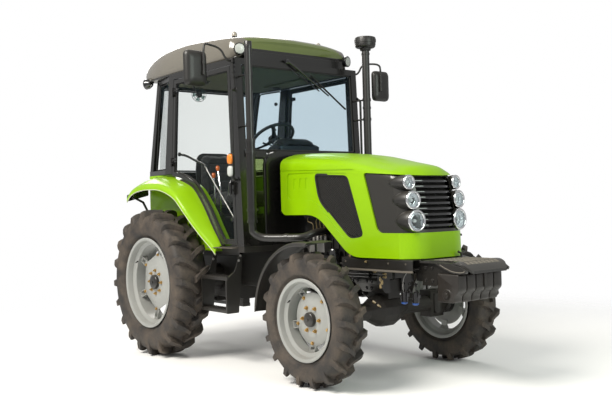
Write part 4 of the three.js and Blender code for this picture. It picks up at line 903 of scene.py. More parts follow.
for angle in turns(5):
    out = Matrix.Rotation(angle, 3, aim) @ aim.orthogonal().normalized()
    wide = aim.cross(out)
    blades.sheet([[fan + out * r + wide * (w * r / 0.055) + aim * (0.01 * w / 0.02 - 0.004)
                   for w in (-0.02, -0.007, 0.007, 0.02)] for r in (0.016, 0.03, 0.045, 0.055)])
fan_blue = glassy("fan_blades", (0.45, 0.62, 0.58), 0.85, (0.1, 0.17, 0.16))
blades.made("cab_fan_blades", "chassis", [fan_blue], "glass")

# -------- glass
# Flat toughened panes: clear at the sides and the rear, blue-grey in the windscreen and green beside the cowl.
side_glass = glassy("side_glass", (0.975, 0.985, 0.98), 0.03)
screen_glass = glassy("screen_glass", (0.8, 0.88, 0.93), 0.06, (0.07, 0.1, 0.13))
green_glass = glassy("green_glass", (0.5, 0.58, 0.36), 0.16, (0.05, 0.06, 0.03))
dress(side_glass, "rear_window", "quarter_glass_left", "quarter_glass_right", "door_glass_left", "door_glass_right")
dress(screen_glass, "windscreen")
dress(green_glass, "cowl_glass_left", "cowl_glass_right")

rubber = painted("seal_rubber", (0.007, 0.007, 0.007), 0.62, 0.0, 0.35, grain=0.15)
rear_half = 0.57
front_at = lambda z: 1.1 - 0.045 * (z - 1.0)
hinge_at = lambda z: 0.06 + 0.09 * (z - 2.0)
rear_at = lambda z: -0.54 + 0.22 * max(0.0, z - 1.56)
b_rear = lambda z: hinge_at(z) - 0.13 + 0.04 * (z - 1.56) / 0.89
beads = Shape()
ring = oblong(-0.582, 1.718, 0.582, 2.394, 0.03)
beads.tube([(front_at(z) - 0.012, y, z) for y, z in [*ring, ring[0]]], 0.0085, 8)
for side in (1, -1):
    rear_y = lambda x: side * (rear_half - 0.02 + (x - (rear_at(2.0) + 0.055)) * 0.155)
    ring = rounded([(rear_at(1.63) + 0.062, 1.625), (b_rear(1.63) - 0.008, 1.625), (b_rear(2.39) - 0.008, 2.39),
                    (rear_at(2.39) + 0.062, 2.39)], 0.03)
    beads.tube([(x, rear_y(x), z) for x, z in [*ring, ring[0]]], 0.006, 8)
    ring = oblong(side * 0.405, 1.018, side * 0.585, 1.652, 0.02)
    beads.tube([(1.065, y, z) for y, z in [*ring, ring[0]]], 0.0075, 8)
ring = oblong(-0.512, 1.625, 0.512, 2.372, 0.03)
beads.tube([(rear_at(z) + 0.018, y, z) for y, z in [*ring, ring[0]]], 0.0075, 8)
beads.made("glass_beads", "chassis", [rubber], "black")

# Hinges and catches of the opening quarter windows.
knobs = Shape()
for side in (1, -1):
    for z in (1.76, 2.02, 2.27):
        x = b_rear(z) - 0.05
        y = side * (rear_half + 0.018)
        knobs.turned([(0, -0.01), (0.016, -0.01), (0.018, -0.002), (0.012, 0.012), (0, 0.014)], (x, y, z),
                     (0, side, 0), 18)
knobs.made("quarter_window_knobs", "chassis", [moulded], "plastic")

# -------- roof
# A moulded roof shell crowned both ways, with a front visor, two smoked marker domes and a round
# work lamp in a black shell at each corner. The visor's olive colour is a painted reflection.
roof_paint = painted("roof_paint", (0.14, 0.128, 0.104), 0.22, 0.7, 0.12)
# Olive for the front visor: a painted reflection on the roof's front edge.
visor_reflection_paint = painted("visor_reflection_paint", (0.1, 0.13, 0.028), 0.26, 0.5, 0.12)
roof_lines = smooth_line([
    (-0.6, 0.5, 2.482, 2.55, 2.58), (-0.52, 0.585, 2.458, 2.6, 2.645), (-0.19, 0.64, 2.4503, 2.652, 2.698),
    (0.2, 0.65, 2.4503, 2.672, 2.722), (0.55, 0.65, 2.4503, 2.656, 2.71), (0.87, 0.632, 2.4503, 2.632, 2.686),
    (0.95, 0.606, 2.462, 2.612, 2.662), (0.983, 0.57, 2.49, 2.58, 2.63)], 5)
made, rows = Shape(), []
for x, half, low, edge, crown in roof_lines:
    side = smooth_line([(half - 0.036, low), (half - 0.004, low + 0.02), (half + 0.002, (low + edge) / 2),
                        (half - 0.018, edge - 0.016), (half - 0.07, edge + 0.01), (half * 0.55, crown - 0.012),
                        (0.0, crown)], 4)
    rows.append([spot(x, y, z) for y, z in [*side, *[(-y, z) for y, z in reversed(side[:-1])]]])
shell(made, rows)
# Faces along the front edge take the olive of the painted reflection, with black trim below it.
for i, face in enumerate(made.faces):
    middle = sum((Vector(made.points[k]) for k in face), Vector()) / len(face)
    if middle.x > rear_axle_x + 0.945 and abs(middle.y) < 0.5:
        made.coats[i] = 1 if middle.z > 2.548 else 2
roof = made.made("roof_shell", "chassis", [roof_paint, visor_reflection_paint, cab_black], "roof", bevel=0.003, sharp=40)
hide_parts("roof")

gutter = Shape()
for side in (1, -1):
    gutter.tube([(x, side * (half - 0.012), low + 0.002) for x, half, low, _, _ in roof_lines[2:-3]], 0.007, 8)
gutter.slab(oblong(0.955, -0.52, 1.012, 0.52, 0.012), 2.448, 2.52, spot)
gutter.made("roof_gutter", "chassis", [cab_black], "black", bevel=0.004)


def ribbed_lens(name, bands, scale, ridge, groove, roughness=0.15, depth=0.3):
    """A moulded lens with ribs across it."""
    lens = Finish(name)
    ribs = lens.node("ShaderNodeTexWave", {"bands_direction": bands}, lens.place(), Scale=scale)
    lens.set(Base_Color=lens.blend(ribs, ridge, groove), Roughness=roughness)
    lens.set(Coat_Weight=0.8).bump(ribs, depth, 0.002)
    return lens


white_lamp = ribbed_lens("white_lamp", "Z", 60.0, (0.62, 0.64, 0.61), (0.36, 0.38, 0.35), 0.12, 0.25)
smoked_lens = painted("smoked_lens", (0.3, 0.27, 0.22), 0.15, 0.8, 0.2)
for side_name, side in sides.items():
    for end, x, y, z, ahead, out in (("front", 1.0, 0.577, 2.529, 0.93, 0.34),
                                     ("rear", -0.505, 0.59, 2.44, -0.9, 0.42)):
        axis = Vector((ahead, side * out, -0.05)).normalized()
        place = spot(x, side * y, z)
        made = Shape()
        made.turned([(0, -0.052), (0.03, -0.048), (0.046, -0.02), (0.049, 0.012), (0.045, 0.017), (0.0415, 0.014),
                     (0, 0.012)], place, axis, 36)
        back = place - axis * 0.03
        made.tube([back, back + Vector((-0.02 * ahead, 0, -0.03 if end == "rear" else 0.03)),
                   place - axis * 0.06 + Vector((0, -side * 0.02, 0.03))], 0.009)
        made.coat = 1
        made.turned([(0, 0.0125), (0.041, 0.0125), (0.037, 0.0175), (0.02, 0.021), (0, 0.022)], place, axis, 36)
        made.made(f"roof_lamp_{end}_{side_name}", "chassis", [gloss_black, white_lamp], "plastic")
    dome = Shape()
    place = spot(0.76, side * 0.455, 2.665)
    dome.spun([(0.028, 0.0), (0.028, 0.014), (0.024, 0.018)], place, (0, 0, 1), 28)
    dome.coat = 1
    dome.turned([(0, 0.018), (0.022, 0.018), (0.023, 0.034), (0.018, 0.048), (0.009, 0.056), (0, 0.058)], place,
                (0, 0, 1), 28)
    dome.made(f"marker_dome_{side_name}", "chassis", [gloss_black, smoked_lens], "plastic")

# -------- rear fenders
# Pressed fenders in green: a crowned skin from the cab wall out to a rolled lip, a flat inner wall down to
# the floor and a boxed ledge beside the seat, with a rubber strip where the door closes against them.
# The lip's edge is given a pale colour: a painted highlight along the rolled edge.
lip_highlight_paint = painted("lip_highlight_paint", (0.52, 0.56, 0.36), 0.3, 0.5, 0.1)
amber = ribbed_lens("amber_lens", "X", 70.0, (0.85, 0.26, 0.01), (0.62, 0.15, 0.005))
red_lens = ribbed_lens("red_lens", "X", 70.0, (0.5, 0.012, 0.008), (0.34, 0.006, 0.004))
fender_line = np.array(smooth_line([
    (-0.48, 1.49, -0.47, 1.375, 0.85), (-0.4, 1.545, -0.395, 1.43, 0.85), (-0.25, 1.562, -0.25, 1.468, 0.85),
    (-0.05, 1.552, -0.05, 1.476, 0.85), (0.15, 1.516, 0.15, 1.462, 0.85), (0.356, 1.444, 0.35, 1.395, 0.846),
    (0.48, 1.335, 0.47, 1.29, 0.832), (0.577, 1.225, 0.56, 1.175, 0.8), (0.66, 1.11, 0.64, 1.07, 0.76),
    (0.733, 1.016, 0.715, 0.985, 0.725), (0.775, 0.95, 0.765, 0.925, 0.705)], 5))


def fender_point(station, y, drop):
    x, z, lip_x, lip_z, lip_y = station
    share = (y - 0.604) / (lip_y - 0.604)
    return x + (lip_x - x) * share, y, z + (lip_z - z) * share - drop


for side_name, side in sides.items():
    made, rows, lip = Shape(), [], []
    turn_over = lambda point: spot(point[0], side * point[1], point[2])
    for station in fender_line:
        lip_y = station[4]
        middle = (0.598 + lip_y) / 2
        outer = smooth_line([(0.598, 0.0), (0.63, -0.004), (middle, -0.016), (lip_y - 0.03, -0.008),
                             (lip_y - 0.008, 0.002), (lip_y, 0.018), (lip_y, 0.04)], 3)
        inner = [(y - 0.005 if y > lip_y - 0.02 else y, drop + 0.005) for y, drop in reversed(outer)]
        rows.append([turn_over(fender_point(station, y, drop)) for y, drop in [*outer, *inner]])
        lip.append(turn_over(fender_point(station, lip_y - 0.003, 0.041)))
    made.loft(rows)
    top = [(x, z - 0.002) for x, z, *_ in fender_line]
    flat = side_on(side)
    made.slab([(-0.48, 1.0), *top, (0.775, 0.905), (-0.2, 0.905)], 0.598, 0.604, flat)
    under = [(x, z - 0.004) for x, z, *_ in fender_line if x < 0][::-1]
    made.slab([*under, (-0.48, 1.5717), (0.0, 1.5717)], 0.598, 0.604, flat)
    over = [(max(x, -0.476), z - 0.002) for x, z, *_ in fender_line]
    made.slab([*over, (0.3303, 0.9503), (0.3303, 1.1803), (-0.4757, 1.1803)], 0.54, 0.544, flat)
    made.loft([[spot(x, side * y, z) for y, z in ((0.54, top_z - 0.002), (0.6, top_z - 0.002), (0.6, top_z - 0.006),
                                                  (0.54, top_z - 0.006))] for x, top_z, *_ in fender_line])
    # A thin tube along the lip's lower edge, in the pale colour of the painted highlight.
    made.coat = 1
    made.tube(lip, 0.0048, 8)
    made.coat = 2
    ring = [(0.606, 0.0), (0.606, -0.007), (0.612, -0.011), (0.646, -0.013), (0.655, -0.01), (0.657, -0.004)]
    made.loft([[turn_over(fender_point(station, y, drop)) for y, drop in ring]
               for station in fender_line if station[0] > 0.12])
    # The stay that carries the fender's rear corner, and the bolts along the cab wall.
    made.coat = 3
    made.tube([(-0.455, side * 0.612, 1.18), (-0.44, side * 0.7, 1.33), (-0.43, side * 0.815, 1.385)], 0.011)
    for station in fender_line[::8]:
        made.bolt(turn_over(fender_point(station, 0.618, -0.002)), (0, 0, 1), 0.006, 0.005)
    fender = made.made(f"fender_skin_{side_name}", "chassis", [green_paint, lip_highlight_paint, rubber, frame_black], "green",
                       bevel=0.0015, sharp=40)
    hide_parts(f"rear_fender_{side_name}")

    # Rear lamp under the fender's rear edge: a black case with a red and an amber lens.
    lamp = Shape()
    for coat, u0, v0, u1, v1, tall, radius, back, face in ((0, 0.625, 1.392, 0.835, 1.342, 0.06, 0.012, -0.498, -0.47),
                                                           (1, 0.632, 1.396, 0.722, 1.375, 0.048, 0.008, -0.509,
                                                            -0.497),
                                                           (2, 0.728, 1.373, 0.828, 1.35, 0.048, 0.008, -0.509,
                                                            -0.497)):
        lamp.coat = coat
        lamp.slab(rounded([(u0, v0), (u1, v1), (u1, v1 + tall), (u0, v0 + tall)], radius), back, face, front_on(side))
    lamp.made(f"tail_lamp_{side_name}", "chassis", [gloss_black, red_lens, amber], "plastic", bevel=0.002)

# -------- doors
# Glazed doors hinged on the rear post: a welded frame that follows the fender, a rubber seal, two barrel
# hinges, a pull bar inside and a lever handle outside.
bare_steel = mottled("bare_steel", 30.0, (0.42, 0.41, 0.4), (0.3, 0.29, 0.28), Metallic=0.95, Roughness=0.32)
for side_name, side in sides.items():
    body = f"door_{side_name}"
    dress(cab_black, f"door_frame_{side_name}", bevel=0.005)
    made = Shape()
    # Bead round the pane, on both faces.
    arch = [(x + 0.01, z + 0.014) for x, z, *_ in fender_line if 0.1 < x < 0.76]
    z_foot = arch[0][1] + 0.03
    outline = [(0.8, 0.966), (front_at(0.966) - 0.096, 0.966), (front_at(2.394) - 0.064, 2.394),
               (hinge_at(2.394) - 0.006, 2.394), (hinge_at(z_foot) - 0.006, z_foot), *arch]
    bead = grown(rounded(outline, 0.02, 3), -0.039)
    for y in (0.63, 0.64):
        made.tube([(x, side * y, z) for x, z in [*bead, bead[0]]], 0.0048, 6)
    made.made(f"door_bead_{side_name}", body, [rubber], "black")
    made = Shape()
    pull = smooth_line([(0.095, 0.612, 1.742), (0.18, 0.596, 1.724), (0.33, 0.594, 1.672), (0.465, 0.594, 1.621),
                        (0.54, 0.594, 1.545), (0.72, 0.594, 1.358), (0.88, 0.596, 1.192), (0.904, 0.612, 1.166)], 4)
    made.tube([(x, side * y, z) for x, y, z in pull[:13]], 0.011)
    made.coat = 1
    made.tube([(x, side * y, z) for x, y, z in pull[12:]], 0.0065)
    made.coat = 0
    for x, z in ((0.098, 1.742), (0.903, 1.166)):
        made.turned([(0, -0.004), (0.018, -0.004), (0.018, 0.008), (0, 0.01)], (x, side * 0.616, z), (0, side, 0), 18)
    # Lever handle with its lock and the plate behind it.
    x = front_at(1.45) - 0.107
    made.slab(oblong(x - 0.028, 1.345, x + 0.028, 1.49, 0.02), 0.651, 0.655, side_on(side))
    made.coat = 2
    lever = smooth_line([(x, 0.655, 1.462), (x, 0.672, 1.462), (x - 0.004, 0.682, 1.44), (x - 0.008, 0.682, 1.385),
                         (x - 0.01, 0.676, 1.362)], 4)
    made.tube([(a, side * b, c) for a, b, c in lever], [0.011] * 8 + [0.009] * (len(lever) - 8), 12)
    made.spun([(0.01, 0), (0.01, 0.006)], (x, side * 0.655, 1.4), (0, side, 0), 20)
    # Hinge straps with their bolts.
    for z in (1.69, 2.3):
        strap_x = hinge_at(z)
        made.slab(rounded([(strap_x - 0.004, z - 0.02), (strap_x + 0.075, z - 0.016), (strap_x + 0.075, z + 0.016),
                           (strap_x - 0.004, z + 0.02)], 0.008), 0.65, 0.657, side_on(side))
        for step in (0.038, 0.062):
            made.bolt((strap_x + step, side * 0.657, z), (0, side, 0), 0.0065, 0.006)
    made.made(f"door_fittings_{side_name}", body, [cab_black, bare_steel, gloss_black], "black", bevel=0.0015)

# -------- exhaust and intake stacks
# Both stand beside the front posts. The exhaust is a bent steel pipe with a perforated heat shield and a
# collared tip; the intake is a plastic pipe with a pre-cleaner bowl on top. Clamps hold both to the cab.
stack_black = painted("stack_black", (0.0095, 0.009, 0.0082), 0.34, 0.3, 0.3)


def clamp_ring(made, place, radius, axis=(0, 0, 1), wide=0.018):
    made.turned([(radius, -wide / 2), (radius + 0.003, -wide / 2), (radius + 0.003, wide / 2), (radius, wide / 2)],
                place, axis, 32)


stack_x, exhaust_y, intake_y = 1.2, -0.635, 0.62
exhaust_path = smooth_line([
    (stack_x, exhaust_y, 2.52), (stack_x, exhaust_y, 2.0), (stack_x, exhaust_y, 1.4), (stack_x, exhaust_y, 1.11),
    (1.206, -0.628, 1.062), (1.236, -0.59, 1.03), (1.3, -0.54, 1.02), (1.48, -0.44, 1.02), (1.53, -0.39, 1.026),
    (1.556, -0.31, 1.05), (1.56, -0.25, 1.06), (1.56, -0.172, 1.06)], 6)
made = Shape()
made.tube(exhaust_path, 0.029, 24)
made.turned([(0.022, 2.5), (0.0305, 2.5), (0.0305, 2.546), (0.029, 2.549), (0.0265, 2.549), (0.0265, 2.515),
             (0.022, 2.512)], (stack_x, exhaust_y, 0), (0, 0, 1), 32)
for z in (1.148, 1.782):
    clamp_ring(made, (stack_x, exhaust_y, z), 0.0375)
for z in (1.24, 1.69):
    clamp_ring(made, (stack_x, exhaust_y, z), 0.0385, wide=0.022)
    made.box((1.192, -0.597, z - 0.011), (1.208, -0.58, z + 0.011))
    made.bolt((1.208, -0.588, z), (1, 0, 0), 0.006, 0.006)
clamp_ring(made, (1.42, -0.473, 1.02), 0.0295, (0.87, 0.49, 0), 0.03)
for z in (1.9, 2.3):
    clamp_ring(made, (stack_x, exhaust_y, z), 0.0295, wide=0.025)
    made.tube([(1.195, -0.62, z), (1.12, -0.61, z), (front_at(z) - 0.002, -0.61, z)], 0.007)
# The shield is perforated sheet rolled round the pipe.
around, up = 48, 150
first = len(made.points)
for i in range(up + 1):
    ring = circle(stack_x, exhaust_y, 0.037, around)
    made.points.extend(tuple(spot(x, y, 1.15 + 0.63 * i / up)) for x, y in ring)
for i in range(up):
    for k in range(around):
        if not (i % 2 and (k + i // 2) % 2 and 3 < i < up - 3):
            a, b = first + i * around, first + (i + 1) * around
            made.face((a + k, a + (k + 1) % around, b + (k + 1) % around, b + k))
exhaust = made.made("exhaust_pipe", "chassis", [stack_black], "black", sharp=50)
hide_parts("exhaust_stack")

intake_path = smooth_line([
    (stack_x, intake_y, 2.606), (stack_x, intake_y, 2.0), (stack_x, intake_y, 1.4), (stack_x, intake_y, 1.18),
    (1.212, 0.606, 1.14), (1.26, 0.556, 1.116), (1.33, 0.48, 1.11), (1.42, 0.365, 1.11), (1.47, 0.3, 1.11),
    (1.496, 0.23, 1.11), (1.5, 0.172, 1.11)], 6)
made = Shape()
made.tube(intake_path, 0.033, 24)
bowl = [(0.046, 2.6), (0.05, 2.618), (0.078, 2.624), (0.086, 2.63), (0.088, 2.638), (0.089, 2.66)]
made.turned([*bowl, (0.0915, 2.662), (0.092, 2.7), (0.089, 2.71), (0.08, 2.714), (0, 2.715), (0, 2.606)],
            (stack_x, intake_y, 0), (0, 0, 1), 48)
clamp_ring(made, (stack_x, intake_y, 2.652), 0.0885, wide=0.006)
for a in turns(24):
    out = Vector((cos(a), sin(a), 0))
    made.tube([spot(stack_x, intake_y, 2.668) + out * 0.0918, spot(stack_x, intake_y, 2.696) + out * 0.092], 0.0022, 5)
for z in (1.3, 2.1, 2.57):
    clamp_ring(made, (stack_x, intake_y, z), 0.0335)
for z in (2.0, 2.17):
    clamp_ring(made, (stack_x, intake_y, z), 0.0345, wide=0.022)
    made.tube([(1.19, 0.612, z), (1.12, 0.606, z), (front_at(z) - 0.002, 0.604, z)], 0.007)
intake = made.made("intake_pipe", "chassis", [moulded], "plastic", sharp=45)
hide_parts("intake_stack")

# -------- mirrors and handrails
# Moulded mirror heads on bent tube arms clamped to the front posts, and a grab rail below each of them
# that carries the amber and clear side lamp.
mirror_glass = mottled("mirror_glass", 4.0, (0.86, 0.88, 0.9), (0.78, 0.8, 0.83), Metallic=1.0)
mirror_glass.set(Roughness=mirror_glass.noise(9.0) * 0.03 + 0.01)
arm_x = front_at(2.42) - 0.032
for side_name, side in sides.items():
    made = Shape()
    arm = smooth_line([(0.652, 2.425), (0.69, 2.426), (0.722, 2.452), (0.75, 2.494), (0.8, 2.522), (0.88, 2.532),
                       (0.93, 2.52), (0.944, 2.48), (0.946, 2.4), (0.946, 2.285)], 5)
    forward = [min(1.0, max(0.0, (y - 0.86) / 0.08)) * 0.046 for y, _ in arm]
    made.tube([(arm_x + out, side * y, z) for (y, z), out in zip(arm, forward)], 0.0085, 12)
    made.slab(oblong(arm_x - 0.02, 2.4, arm_x + 0.02, 2.448, 0.006), 0.6503, 0.658, side_on(side))
    for z in (2.41, 2.438):
        made.bolt((arm_x, side * 0.658, z), (0, side, 0), 0.006, 0.006)
    for z in (2.3, 2.38):
        clamp_ring(made, (arm_x + 0.046, side * 0.946, z), 0.009, wide=0.024)
    # The head is a shell with rounded edges, deeper at its middle.
    rows = []
    for reach, shrink in ((-0.022, 0.006), (-0.022, 0.001), (-0.016, 0.0), (0.004, 0.003), (0.018, 0.014),
                          (0.027, 0.034), (0.031, 0.062)):
        a, b, c, d = 0.892 + shrink, 1.088 - shrink, 2.202 + shrink, 2.478 - shrink
        outline = oblong(a, c, b, d, max(0.012, 0.045 - shrink * 0.5), 8)
        rows.append([spot(arm_x + reach, side * u, v) for u, v in outline])
    made.loft(rows)
    made.coat = 1
    outline = oblong(0.902, 2.212, 1.078, 2.468, 0.038, 8)
    made.slab(outline, -0.0245, -0.021, lambda u, v, w: spot(arm_x + w, side * u, v))
    item = made.made(f"mirror_head_{side_name}", "chassis", [moulded, mirror_glass], "plastic", sharp=40)
    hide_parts(f"mirror_{side_name}")

    made = Shape()
    rail_x = front_at(1.5) - 0.038
    rail = smooth_line([(0.652, 1.48), (0.676, 1.481), (0.691, 1.492), (0.694, 1.52), (0.694, 1.83), (0.694, 2.15),
                        (0.691, 2.178), (0.676, 2.189), (0.652, 2.19)], 6)
    made.tube([(rail_x, side * y, z) for y, z in rail], 0.0105, 14)
    for z in (1.48, 2.19):
        made.spun([(0.021, 0), (0.021, 0.004), (0.013, 0.009)], (rail_x, side * 0.6503, z), (0, side, 0), 20)
    made.slab(oblong(rail_x - 0.035, 1.5, rail_x + 0.035, 1.69, 0.033), 0.7, 0.716, side_on(side))
    for coat, low, high in ((1, 1.602, 1.684), (2, 1.506, 1.59)):
        made.coat = coat
        outline = oblong(rail_x - 0.029, low, rail_x + 0.029, high, 0.027, 8)
        middle = (low + high) / 2
        made.loft([[spot(rail_x + (u - rail_x) * s, side * w, middle + (v - middle) * s) for u, v in outline]
                   for s, w in ((1.0, 0.714), (1.0, 0.724), (0.93, 0.731), (0.7, 0.736), (0.3, 0.738))])
    item = made.made(f"grab_rail_{side_name}", "chassis", [stack_black, amber, white_lamp], "black", sharp=45)
    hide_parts(f"handrail_{side_name}")

# A hose with band clips comes down the right front post from the washer.
made = Shape()
made.tube(smooth_line([(front_at(2.44) - 0.01, -0.664, 2.44), (front_at(2.38) - 0.006, -0.668, 2.38),
                       (front_at(2.3) - 0.002, -0.664, 2.3), (front_at(2.2) + 0.002, -0.664, 2.2)], 5), 0.007, 8)
for z in (2.415, 2.375, 2.335, 2.29):
    clamp_ring(made, (front_at(z) - 0.006, -0.666, z), 0.01, wide=0.012)
made.made("washer_hose", "chassis", [rubber], "black")

# -------- wiper
# One pantograph wiper hung from the header, with its motor cover above the glass.
made = Shape()
on_glass = lambda y, z, off=0.0: spot(front_at(z) + 0.004 + off, y, z)
made.tube([on_glass(-0.13, 2.46, 0.014), on_glass(-0.06, 2.42, 0.02), on_glass(0.16, 2.285, 0.018),
           on_glass(0.3, 2.2, 0.012)], [0.011, 0.01, 0.008, 0.006])
made.tube([on_glass(-0.1, 2.4, 0.01), on_glass(0.2, 2.235, 0.01)], 0.0055, 8)
made.spun([(0.02, -0.004), (0.02, 0.014), (0.012, 0.022)], on_glass(-0.13, 2.46), (1, 0, 0), 20)
made.coat = 1
made.tube([on_glass(0.11, 2.365, 0.008), on_glass(0.49, 2.095, 0.008)], 0.0075, 8)
made.tube([on_glass(0.11, 2.365, 0.016), on_glass(0.3, 2.22, 0.02), on_glass(0.49, 2.095, 0.016)], 0.0045, 6)
made.made("windscreen_wiper", "chassis", [gloss_black, rubber], "black")

# -------- steps
# Each step hangs from the platform: two flanged cheek plates with two serrated treads between them.
for side_name, side in sides.items():
    made = Shape()
    cheek = [(0.61, 0.9047), (0.64, 0.9047), (0.69, 0.76), (0.772, 0.7), (0.772, 0.43), (0.66, 0.43), (0.64, 0.64)]
    outline = rounded(cheek, [0.004, 0.01, 0.03, 0.02, 0.012, 0.012, 0.03])
    for x in (0.65, 1.018):
        made.slab(outline, x, x + 0.006, front_on(side))
        edge = 0.014 if x < 0.8 else -0.014
        front_edge = [point for point in outline if point[0] > 0.7]
        made.sheet([[spot(x + 0.003 + a, side * u, v) for a in (0.0, edge)] for u, v in front_edge])
    for z in (0.69, 0.432):
        made.slab(oblong(0.664, z, 0.768, z + 0.028, 0.004), 0.652, 1.022, front_on(side))
        for k in range(12):
            for y in (0.672, 0.7, 0.728, 0.758):
                x = 0.674 + k * 0.029
                made.box((x, side * y - 0.003, z + 0.026), (x + 0.016, side * y + 0.003, z + 0.034))
    made.box((0.65, side * 0.625 - 0.015, 0.884), (1.024, side * 0.625 + 0.015, 0.9047))
    made.coat = 1
    for x in (0.656, 1.024):
        for y, z in ((0.634, 0.88), (0.652, 0.842)):
            made.bolt((x, side * y, z), (1, 0, 0), 0.009, 0.008)
    item = made.made(f"step_frame_{side_name}", "chassis", [frame_black, bare_steel], "black", bevel=0.0015)
    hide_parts(f"step_{side_name}")

# -------- front mudguards
# Moulded black guards that turn with the front wheels, each on a bent stay bolted to its knuckle.
hub_x, hub_z, arc = 1.98, 0.47, 0.545
for side_name, side in sides.items():
    made, rows = Shape(), []
    for k in range(49):
        t = k / 48
        a = radians(81 + 97 * t)
        ends = min(1.0, sin(pi * min(1.0, max(0.0, t * 0.94 + 0.03))) * 3.5)
        ring = []
        low, high = 0.563, 0.816
        outer = smooth_line([(low, 0.01), (low + 0.008, 0.001), (low + 0.05, 0.0), (low + 0.08, 0.004),
                             (high - 0.08, 0.004), (high - 0.05, 0.0), (high - 0.012, 0.003), (high, 0.014),
                             (high, 0.014 + 0.014 * ends)], 3)
        for y, drop in [*outer, *[(y - 0.003 if y > 0.8 else y, drop + 0.004) for y, drop in reversed(outer)]]:
            ring.append(spot(hub_x + (arc - drop) * cos(a), side * y, hub_z + (arc - drop) * sin(a)))
        rows.append(ring)
    made.loft(rows)
    made.coat = 1
    stay_x = hub_x - 0.092
    stay_top = hub_z + math.sqrt(arc**2 - (hub_x - stay_x) ** 2) - 0.006
    path = smooth_line([(1.912, 0.575, 0.518), (1.902, 0.575, 0.518), (stay_x, 0.575, 0.53), (stay_x, 0.575, 0.56),
                        (stay_x, 0.575, 0.78), (stay_x, 0.575, stay_top)], 4)
    made.tube([(x, side * y, z) for x, y, z in path], 0.009, 10)
    made.tube([(stay_x, side * 0.575, stay_top - 0.012), (stay_x, side * 0.8, stay_top - 0.012)], 0.007, 10)
    for y in (0.6, 0.69, 0.78):
        made.bolt((stay_x, side * y, stay_top + 0.003), (0, 0, 1), 0.008, 0.007)
    item = made.made(f"mudguard_{side_name}", f"front_knuckle_{side_name}", [moulded, frame_black], "plastic",
                     sharp=45)
    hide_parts(f"front_fender_{side_name}")

# -------- front plate and weights
# A carrier of plate cheeks holds a moulded anti-slip plate, folded down at the front, with a hand recess in
# each side. Five cast weights hang from its hook and a rod runs through them.
tread_plate = painted("tread_plate", (0.02, 0.019, 0.018), 0.36, 0.25, 0.2)
pale_pads = painted("pale_pads", (0.19, 0.172, 0.145), 0.55, 0.0, 0.6, grain=0.4)
plate_top, plate_bend, plate_nose, plate_drop = 0.872, 2.86, 2.978, 0.06
made, rows = Shape(), []
fall = lambda x: 0.0 if x < plate_bend else plate_drop * min(1.0, (x - plate_bend) / (plate_nose - plate_bend)) ** 2.2
stations = [*np.linspace(2.562, 2.84, 8), *np.linspace(2.855, plate_nose, 14)]
for x in stations:
    half = float(np.interp(x, [2.56, 2.88, 2.93, 2.965, 2.978], [0.225, 0.225, 0.214, 0.192, 0.175]))
    z = plate_top - fall(x)
    ring = smooth_line([(half, z - 0.018), (half, z - 0.007), (half - 0.004, z - 0.001), (half - 0.012, z),
                        (0.0, z)], 2)
    rows.append([spot(x, y, w) for y, w in [*ring, *[(-y, w) for y, w in reversed(ring[:-1])]]])
shell(made, rows)
plate = blank(made)
for side in (1, -1):
    lens = [(2.6, side * 0.23), (2.64, side * 0.206), (2.7, side * 0.172), (2.76, side * 0.158),
            (2.82, side * 0.176), (2.862, side * 0.23)]
    carve(plate, blank(Shape().slab(smooth_line(lens, 4), plate_top - 0.012, plate_top + 0.01, spot)))
finished(plate, "anti_slip_plate", "chassis", [tread_plate], bevel=0.002)

# Raised pads in a pale colour stand in rows on the top, and a lens-shaped hand hold in each side is drawn as a sheet
# of painted shadow inside a rim.
grid = Shape()
for i in range(7):
    x = 2.64 + i * 0.043
    for k in range(8):
        y = (k - 3.5) * 0.0425
        corners = [(x, y - 0.0165), (x + 0.033, y - 0.0165), (x + 0.033, y + 0.0165), (x, y + 0.0165)]
        grid.loft([[spot(u, v, plate_top - fall(u) + up) for u, v in grown(corners, -into)]
                   for up, into in ((-0.001, 0.0), (0.0022, 0.0005), (0.0032, 0.0025))])
for side in (1, -1):
    grid.coat = 1
    skirt = [(2.7, 0.853), (2.86, 0.853), (2.93, 0.838), (2.966, 0.815), (2.96, 0.797), (2.9, 0.792), (2.84, 0.797),
             (2.775, 0.82), (2.72, 0.842)]
    grid.slab(rounded(skirt, 0.006), 0.204, 0.2235, side_on(side))
    hold = smooth_line([(2.742, 0.848), (2.79, 0.826), (2.85, 0.808), (2.91, 0.803), (2.948, 0.812), (2.93, 0.829),
                        (2.87, 0.845), (2.8, 0.85), (2.742, 0.848)], 4)
    grid.coat = 2
    grid.slab(hold[:-1], 0.2236, 0.2242, side_on(side))
    grid.coat = 0
    grid.tube([(u, side * 0.2242, v) for u, v in hold[:18]], 0.0028, 8)
grid.made("plate_grid", "chassis", [pale_pads, tread_plate, shadow_black], "black")

made = Shape()
for side in (1, -1):
    cheek = rounded([(2.5603, 0.7), (2.69, 0.7), (2.7, 0.79), (2.89, 0.79), (2.9, 0.817), (2.86, 0.853),
                     (2.5603, 0.853)], [0.002, 0.02, 0.01, 0.015, 0.01, 0.03, 0.002])
    made.slab(cheek, 0.182, 0.198, side_on(side))
    for x, z in ((2.59, 0.735), (2.59, 0.82), (2.65, 0.735), (2.65, 0.82)):
        made.bolt((x, side * 0.198, z), (0, side, 0), 0.012, 0.011)
made.box((2.5603, -0.19, 0.7), (2.59, 0.19, 0.862))
# A pin with a wing knob locks the weights behind the plate.
made.tube([(2.612, 0.15, 0.868), (2.612, 0.15, 0.905)], 0.008)
made.tube([(2.612, 0.118, 0.913), (2.612, 0.15, 0.9), (2.612, 0.182, 0.913)], [0.009, 0.006, 0.009])
item = made.made("weight_bracket", "chassis", [frame_black], "black", bevel=0.0025)
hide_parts("weight_carrier")

